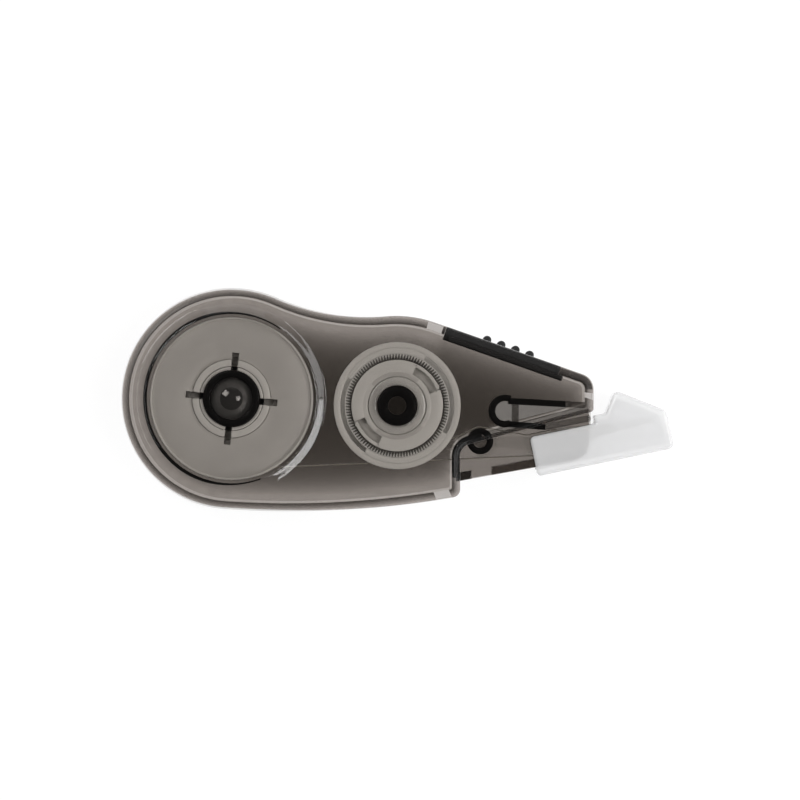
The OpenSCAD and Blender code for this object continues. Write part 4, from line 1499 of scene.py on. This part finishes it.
@dataclass(frozen=True)
class TakeUpReel:
    """The take-up reel: gear, spool, front flange with ratchet teeth, winding, and the pawl beside it."""

    gear: Gear = Gear(26, 180 - REEL_SLOPE + 180 / 26)
    gear_z: tuple[float, float] = (2.6, 4.2)
    plate_r: float = 7.5
    plate_z: tuple[float, float] = (4.1, 4.45)
    bore: float = 3.06
    tube_r: float = 4.0
    tube_z: tuple[float, float] = (5.2, 9.65)
    web_r: tuple[float, float] = (3.9, 6.9)
    # The drum's dark finish is painted shade between the flange's teeth.
    web_z: tuple[float, float] = (8.9, 9.3)
    drum_r: tuple[float, float] = (6.85, 7.54)
    drum_z: tuple[float, float] = (5.2, 9.95)
    winding_bore: float = 7.55
    flange_r: float = 9.5
    back_z: tuple[float, float] = (4.45, 5.25)
    front_z: tuple[float, float] = (9.95, 10.75)
    ratchet_r: float = 6.95
    root_r: float = 7.72
    teeth: int = 108
    tooth_at: tuple[float, float, float] = (0.0, 0.15, 0.5)
    slots: tuple[float, float] = (7.85, 8.5)
    bridges: tuple[tuple[float, float], ...] = ((60.0, 150.0), (235.0, 330.0))
    pawl_lift: float = 0.05
    pawl_bore: float = 3.05
    pawl_gap: float = 0.1
    pawl_tip_r: float = 6.92
    groove: tuple[float, float] = (4.25, 4.4)
    groove_floor: float = 0.2
    arm_t: float = 0.5
    arm_slot: float = 1.2
    arm_starts: tuple[float, float] = (22.0, 202.0)
    free_span: tuple[float, float] = (0.0, 43.0)
    tooth_span: tuple[float, float] = (2.0, 5.0)
    fixed_span: tuple[float, float] = (42.0, 178.0)
    mark_span: tuple[float, float] = (28.0, 118.0)
    mark_r: float = 4.5
    mark_h: float = 0.02

    def flange(self) -> list[Surface]:
        """Front flange: a ring of saw teeth, an outer ring and the two bridges between the arc slots.

        Returns:
            The closed surfaces of the flange.
        """
        k = np.arange(self.teeth)[:, None]
        angles = (360.0 * (k + np.array(self.tooth_at)) / self.teeth).ravel()
        saw = np.tile([self.ratchet_r, self.root_r, self.root_r], self.teeth)
        low, high = self.front_z
        slot_in, slot_out = self.slots
        rings = [Ring(saw, slot_in, low, high, angles, 0.04),
                 Ring(slot_out, self.flange_r, low, high, bevel=0.15)]
        rings += [Ring(slot_in - LAP, slot_out + 2 * LAP, low, high, sector(*span), 0.02, True)
                  for span in self.bridges]
        return [ring.surface(TAKE_UP) for ring in rings]

    def pawl(self) -> list[Surface]:
        """Pawl disc: a hub ring and a rim cut free over two arcs, each free arm ending in a tooth.

        Returns:
            The closed surfaces of the disc, with two low marks in its second finish.
        """
        low, high = (z + self.pawl_lift for z in self.front_z)
        rim = self.ratchet_r - self.pawl_gap
        arm = rim - self.arm_t
        hub = arm - self.arm_slot
        groove_in, groove_out = self.groove
        rings = [Ring(self.pawl_bore, groove_in, low, high, bevel=0.05),
                 Ring(groove_in - LAP, groove_out + LAP, low, low + self.groove_floor, bevel=0.02),
                 Ring(groove_out, hub, low, high, bevel=0.05)]
        parts = [ring.surface(TAKE_UP) for ring in rings]
        for start in self.arm_starts:
            free = sector(*(start + a for a in self.free_span))
            tooth = sector(*(start + a for a in self.tooth_span), 4)
            fixed = sector(*(start + a for a in self.fixed_span))
            mark = sector(*(start + a for a in self.mark_span))
            parts += [Ring(arm, rim, low, high, free, 0.06, True).surface(TAKE_UP),
                      Ring(rim - LAP, self.pawl_tip_r, low, high, tooth, 0.03, True).surface(TAKE_UP),
                      Ring(hub - LAP, rim, low, high, fixed, 0.06, True).surface(TAKE_UP)]
            shade = Ring(self.mark_r, hub - LAP, high - LAP, high + self.mark_h, mark, 0.01, True)
            parts.append(shade.surface(TAKE_UP, 1))
        return parts

    def build(self) -> None:
        """Make the reel's pieces and the pawl."""
        angles, tips = self.gear.rim()
        gear = [Ring(self.bore, tips, *self.gear_z, angles).surface(TAKE_UP),
                Ring(self.bore, self.plate_r, *self.plate_z, bevel=0.05).surface(TAKE_UP)]
        Piece("take_up_gear", "take_up_reel", "clear_gear", (Kit.GEAR_CLEAR,)).build(gear)
        # Painted shade: the drum takes the dark finish, seen between the flange's teeth.
        spool = [Ring(self.bore, self.flange_r, *self.back_z).surface(TAKE_UP),
                 Ring(self.bore, self.tube_r, *self.tube_z).surface(TAKE_UP),
                 Ring(*self.web_r, *self.web_z).surface(TAKE_UP),
                 Ring(*self.drum_r, *self.drum_z).surface(TAKE_UP, 1)]
        Piece("take_up_spool", "take_up_reel", "white_plastic", (Kit.WHITE, Kit.SHADED)).build(spool)
        Piece("take_up_flange", "take_up_reel", "white_plastic", (Kit.WHITE,)).build(self.flange())
        winding = [Ring(self.winding_bore, WINDING_R, *TAPE_Z, bevel=0.03).surface(TAKE_UP)]
        Piece("take_up_winding", "take_up_reel", "carrier_film", (Kit.FILM,)).build(winding)
        Piece("ratchet_pawl", "case", "white_plastic", (Kit.WHITE, Kit.PALE)).build(self.pawl())


@dataclass(frozen=True)
class Pull:
    """Frame of the cap's pull: u along it and v across it."""

    root: tuple[float, float] = (44.0, -7.0)
    angle: float = 11.74

    def flat(self, points: np.ndarray) -> np.ndarray:
        """Points (u, v) as places in the side view."""
        along, across = points[..., :1], points[..., 1:2]
        return np.array(self.root) + along * around(self.angle) + across * around(self.angle + 90)

    def placed(self, surface: Surface) -> Surface:
        """A surface made on (u, v), in place."""
        surface.points = np.column_stack([self.flat(surface.points[:, :2]), surface.points[:, 2]])
        return surface


def tangent(p: np.ndarray, c: np.ndarray, r: float, side: int) -> float:
    """Angle at which a line from p touches a circle, on its left (1) or right (-1) as seen from p."""
    return bearing(p - c) - side * math.degrees(math.acos(r / np.linalg.norm(p - c)))


@dataclass(frozen=True)
class Applicator:
    """The applicator head and the two runs of tape along it."""

    length: float = 19.6
    heel_u: float = 0.5
    block_u: float = 5.0
    middle_u: float = 10.0
    lower: tuple[float, float, float] = (-1.5, -0.7, -0.16)
    upper: tuple[float, float, float] = (1.3, 0.55, 0.16)
    block_z: tuple[float, float] = (2.35, 10.65)
    tongue_from: float = 4.0
    tongue_z: tuple[float, float] = (5.3, 9.9)
    cheek_t: float = 0.5
    cheek_u: tuple[float, float] = (6.5, 13.6)
    cheek_past: tuple[float, float] = (0.4, 0.2)
    cheek_end: tuple[float, float] = (-0.75, 0.6)
    stem_end: tuple[tuple[float, float], ...] = ((1.0, -1.0), (1.0, 1.0))
    stem_root: tuple[tuple[float, float], ...] = ((2.2, -0.85), (2.2, 0.75))
    hook_r: tuple[float, float] = (2.0, 2.65)
    hook_half: float = 105.0
    hook_top: float = 5.0
    thick: float = 0.15
    off: float = 0.175
    pull: Pull = Pull()

    def ribbon(self, path: np.ndarray) -> list[Surface]:
        """A thin strip along flat points, moved half its thickness to both sides.

        Args:
            path: Middle line of the strip in the side view, shape (n, 2).

        Returns:
            The strip, and its cut edges up to the tongue in the second finish.
        """
        e = np.diff(path, axis=0)
        e = e / np.linalg.norm(e, axis=1, keepdims=True)
        before = np.vstack([e[:1], e])
        after = np.vstack([e, e[-1:]])
        side = np.column_stack([-before[:, 1] - after[:, 1], before[:, 0] + after[:, 0]])
        side = side / (1 + np.sum(before * after, axis=1, keepdims=True)) * self.thick / 2
        low, high = TAPE_Z
        corners = [np.column_stack([path + s * side, np.full(len(path), z)])
                   for s, z in ((1, low), (1, high), (-1, high), (-1, low))]
        body = grid(np.stack(corners, axis=1), wrap_v=True)
        quads = body.blocks[0].reshape(-1, 4, 4)
        first = np.arange(4)[None, :]
        last = (len(path) - 1) * 4 + first
        sides = [quads[:, 0::2].reshape(-1, 4), quads[-2:, 1::2].reshape(-1, 4), first, last]
        return [Surface(body.points, sides), Surface(body.points, [quads[:-2, 1::2].reshape(-1, 4)], 1)]

    def head(self) -> list[Surface]:
        """Hook round the guide post, stem, block, tapered tongue and its two cheeks.

        Returns:
            The closed surfaces of the head, in place.
        """
        low, high = self.block_z
        under, over = self.lower[0], self.upper[0]
        end, middle, tip = self.block_u, self.middle_u, self.length
        hook_turn = sector(-self.hook_half, self.hook_half, 40)
        hook = Ring(*self.hook_r, low, self.hook_top, hook_turn, 0.08, True)
        joint = self.pull.flat(np.array(self.stem_end))
        stem = np.array([POST + self.stem_root[0], joint[0], joint[1], POST + self.stem_root[1]])
        seat = np.array([[0, under], [end, under], [end, over], [0, over]])
        start = self.tongue_from
        tongue = np.array([[start, under], [end, under], [middle, self.lower[1]], [tip, self.lower[2]],
                           [tip, self.upper[2]], [middle, self.upper[1]], [end, over], [start, over]])
        bend, front_u = self.cheek_u
        bottom = under - self.cheek_past[0]
        top = over + self.cheek_past[1]
        cheek = np.array([
            [start, bottom, 0.1], [bend, bottom, 1.5], [front_u, self.cheek_end[0], 0.5],
            [front_u, self.cheek_end[1], 0.5], [bend, top, 1.5], [start, top, 0.1]])
        back, front = self.tongue_z
        parts = [hook.surface(POST), prism(stem, low + 0.05, self.hook_top - 0.05, 0.1)]
        parts += [self.pull.placed(s) for s in (
            prism(seat, low, high, 0.2), prism(tongue, back, front, 0.08),
            block(cheek, back - self.cheek_t, back), block(cheek, front, front + self.cheek_t))]
        return parts

    def way(self, face: tuple[float, float, float], off: float) -> np.ndarray:
        """The tape's way along one side of the head, from its heel to the tip.

        Args:
            face: Heights of that side at the block, in the middle of the tongue and at the tip.
            off: Distance from that side, negative below it.

        Returns:
            Four points in the side view, shape (4, 2).
        """
        along = [self.heel_u, self.block_u, self.middle_u, self.length]
        across = np.array([face[0], *face]) + off
        return self.pull.flat(np.column_stack([along, across]))

    def build(self) -> None:
        """Make the head and the two runs of tape."""
        Piece("applicator_head", "case", "milky_plastic", (Kit.NATURAL,)).build(self.head())
        under = self.way(self.lower, -self.off)
        roll = ROLL_R + self.off
        out = np.vstack([roll * around(tangent(under[0], SUPPLY, roll, 1)), under])
        Piece("tape_out_run", "case", "white_tape", (Kit.STRIP, Kit.STRIP_EDGE)).build(self.ribbon(out))
        over = self.way(self.upper, self.off)
        near = WINDING_R + self.off
        far = POST_R + self.off
        gap = POST - TAKE_UP
        rise = bearing(gap) + math.degrees(math.asin((near + far) / np.linalg.norm(gap)))
        bend = POST + far * around(np.linspace(rise + 90, tangent(over[0], POST, far, -1), 10))
        back = np.vstack([TAKE_UP + near * around(rise - 90), bend, over])
        Piece("tape_back_run", "case", "carrier_film", (Kit.STRIP, Kit.STRIP_EDGE)).build(self.ribbon(back))


@dataclass(frozen=True)
class Cap:
    """The push-on cap: a hood over the tip and a skirt that slides over the neck."""

    wall: float = 1.0
    side: float = 0.1
    edge_r: float = 0.5
    inner_r: float = 0.25
    inner_edge_r: float = 0.2
    slot: tuple[float, float] = (1.3, 11.7)
    sharp: float = 40.0
    pull: Pull = Pull()
    corners: tuple[tuple[float, float, float], ...] = (
        (0.8, -4.86, 0.6), (21.67, -4.86, 1.0), (21.53, 0.89, 1.2), (14.7, 5.37, 0.8),
        (12.7, 2.3, 0.5), (10.8, 2.3, 0.3), (10.8, 1.1, 0.3), (0.8, 1.1, 0.7))
    mouth: tuple[tuple[float, float], ...] = (
        (-0.4, -3.86), (12.7, -3.86), (12.7, 1.3), (10.8, 1.3), (10.8, 2.1), (-0.4, 2.1))

    def solid(self, surface: Surface, name: str) -> bpy.types.Object:
        """A bare object from a surface on the pull's frame, used to cut with.

        Args:
            surface: A closed surface on (u, v).
            name: The object's name.

        Returns:
            The object, in place.
        """
        mesh = bpy.data.meshes.new(name)
        rows = [row for faces in surface.blocks for row in faces.tolist()]
        mesh.from_pydata((self.pull.placed(surface).points * MM).tolist(), [], rows)
        work = bmesh.new()
        work.from_mesh(mesh)
        bmesh.ops.recalc_face_normals(work, faces=work.faces)
        work.to_mesh(mesh)
        work.free()
        thing = bpy.data.objects.new(name, mesh)
        bpy.context.scene.collection.objects.link(thing)
        return thing

    def build(self) -> bpy.types.Object:
        """Make the rounded outside, cut the hollow and the open skirt, and dress the cap.

        Returns:
            The piece.
        """
        corners = np.array(self.corners)
        low, high = self.slot
        inner = np.column_stack([inset(corners[:, :2], self.wall), np.full(len(corners), self.inner_r)])
        hollow = block(inner, low, high, self.inner_edge_r)
        mouth = prism(np.array(self.mouth), low, high, self.inner_edge_r)
        cutters = [self.solid(hollow, "hollow"), self.solid(mouth, "mouth")]
        outside = self.pull.placed(block(corners, self.side, CASE_T - self.side, self.edge_r, steps=5))
        piece = Piece("cap", "cap_body", "milky_plastic", (Kit.MILK,), self.sharp).build([outside])
        for cutter in cutters:
            cut = piece.modifiers.new(cutter.name, "BOOLEAN")
            cut.object = cutter
            cut.solver = "MANIFOLD"
        graph = bpy.context.evaluated_depsgraph_get()
        made = bpy.data.meshes.new_from_object(piece.evaluated_get(graph))
        piece.modifiers.clear()
        piece.data = made
        for cutter in cutters:
            bpy.data.objects.remove(cutter)
        made.shade_smooth()
        made.set_sharp_from_angle(angle=math.radians(self.sharp))
        return piece


@dataclass(frozen=True)
class SoftLamp:
    """A soft lamp, wider than high or square, that looks at the object."""

    name: str
    place: tuple[float, float, float]
    width: float
    height: float
    power: float

    def build(self, target: Vector) -> None:
        """Hang the lamp.

        Args:
            target: The point that it looks at.
        """
        data = bpy.data.lights.new(self.name, "AREA")
        data.shape = "RECTANGLE"
        data.size = self.width
        data.size_y = self.height
        data.energy = self.power
        lamp = bpy.data.objects.new(self.name, data)
        lamp.location = self.place
        lamp.rotation_euler = (target - Vector(self.place)).to_track_quat("-Z", "Y").to_euler()
        bpy.context.scene.collection.objects.link(lamp)


@dataclass(frozen=True)
class Studio:
    """Pale floor, soft lamps, world and camera."""

    middle: tuple[float, float, float] = (0.0252, -0.0002, 0.0065)
    distance: float = 1.2
    frame_width: float = 0.12
    sensor: float = 36.0
    near_clip: float = 0.01
    clear_layers: int = 48
    floor_half: float = 4.0
    floor_drop: float = 0.05
    floor_colours: tuple[tuple[float, float, float], ...] = ((0.88, 0.88, 0.88), (0.9, 0.9, 0.9))
    floor_clouds: float = 20.0
    floor_glow: float = 0.85
    glow_strength: float = 1.08
    sky: float = 0.04
    lamps: tuple[SoftLamp, ...] = (
        SoftLamp("upper_left", (-0.30, 0.28, 0.62), 0.27, 0.27, 1.9),
        SoftLamp("right", (0.36, 0.02, 0.70), 0.22, 0.22, 1.3),
        SoftLamp("top_side", (0.03, 0.75, 0.45), 0.60, 0.60, 0.6),
        SoftLamp("left_side", (-0.70, 0.0, 0.42), 0.90, 0.20, 0.8),
        SoftLamp("upper_right", (0.66, 0.37, 0.42), 0.80, 0.20, 2.0),
        SoftLamp("lower_right", (0.645, -0.40, 0.42), 0.90, 0.17, 4.6),
    )

    def shown(self, n: Nodes) -> bpy.types.NodeSocket:
        """1 for rays that show the background: from the camera, a glossy face or through glass.

        Args:
            n: The material's nodes.

        Returns:
            The value, as a node's output.
        """
        path = n.add("LightPath").outputs
        seen = {0: path["Is Camera Ray"], 1: path["Is Glossy Ray"]}
        some = n.add("Math", seen, operation="MAXIMUM").outputs[0]
        return n.add("Math", {0: some, 1: path["Is Transmission Ray"]}, operation="MAXIMUM").outputs[0]

    def floor(self) -> None:
        """A wide pale floor just under the object, which shows white and keeps the object's shadow."""
        n = Nodes("pale_floor")
        colour = n.mixed(n.noise(self.floor_clouds), *self.floor_colours)
        paint = n.add("BsdfDiffuse", {"Color": colour}).outputs[0]
        glow = n.add("Emission", {"Color": (1, 1, 1, 1), "Strength": self.glow_strength}).outputs[0]
        share = n.add("Math", {0: self.shown(n), 1: self.floor_glow}, operation="MULTIPLY").outputs[0]
        material = n.end(n.add("MixShader", {0: share, 1: paint, 2: glow}).outputs[0])
        mesh = bpy.data.meshes.new("floor")
        low = -self.floor_drop * MM
        far = self.floor_half
        mesh.from_pydata([(-far, -far, low), (far, -far, low), (far, far, low), (-far, far, low)],
                         [], [(0, 1, 2, 3)])
        mesh.materials.append(material)
        floor = bpy.data.objects.new("floor", mesh)
        bpy.context.scene.collection.objects.link(floor)

    def world(self) -> None:
        """A dim even sky that shows as white where the camera sees it."""
        world = bpy.data.worlds.new("studio")
        bpy.context.scene.world = world
        world.use_nodes = True
        tree = world.node_tree
        sky = tree.nodes["Background"]
        path = tree.nodes.new("ShaderNodeLightPath")
        strength = tree.nodes.new("ShaderNodeMapRange")
        strength.inputs["To Min"].default_value = self.sky
        strength.inputs["To Max"].default_value = 1.0
        tree.links.new(path.outputs["Is Camera Ray"], strength.inputs["Value"])
        tree.links.new(strength.outputs["Result"], sky.inputs["Strength"])
        sky.inputs["Color"].default_value = (1, 1, 1, 1)

    def build(self) -> None:
        """Make the floor, the world, the lamps and the camera."""
        self.floor()
        self.world()
        target = Vector(self.middle)
        for lamp in self.lamps:
            lamp.build(target)
        data = bpy.data.cameras.new("photo_view")
        data.sensor_width = self.sensor
        data.lens = self.sensor * self.distance / self.frame_width
        data.clip_start = self.near_clip
        camera = bpy.data.objects.new("photo_view", data)
        camera.location = (self.middle[0], self.middle[1], self.middle[2] + self.distance)
        bpy.context.scene.collection.objects.link(camera)
        scene = bpy.context.scene
        scene.camera = camera
        scene.view_settings.view_transform = "Standard"
        scene.cycles.transparent_max_bounces = self.clear_layers


def main() -> None:
    """Build every part of the object and the studio round it."""
    logging.basicConfig(level=logging.INFO, format="%(name)s: %(message)s")
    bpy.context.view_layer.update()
    Case().build()
    SupplyReel().build()
    TakeUpReel().build()
    Applicator().build()
    Cap().build()
    Studio().build()


if __name__ == "__main__":
    main()
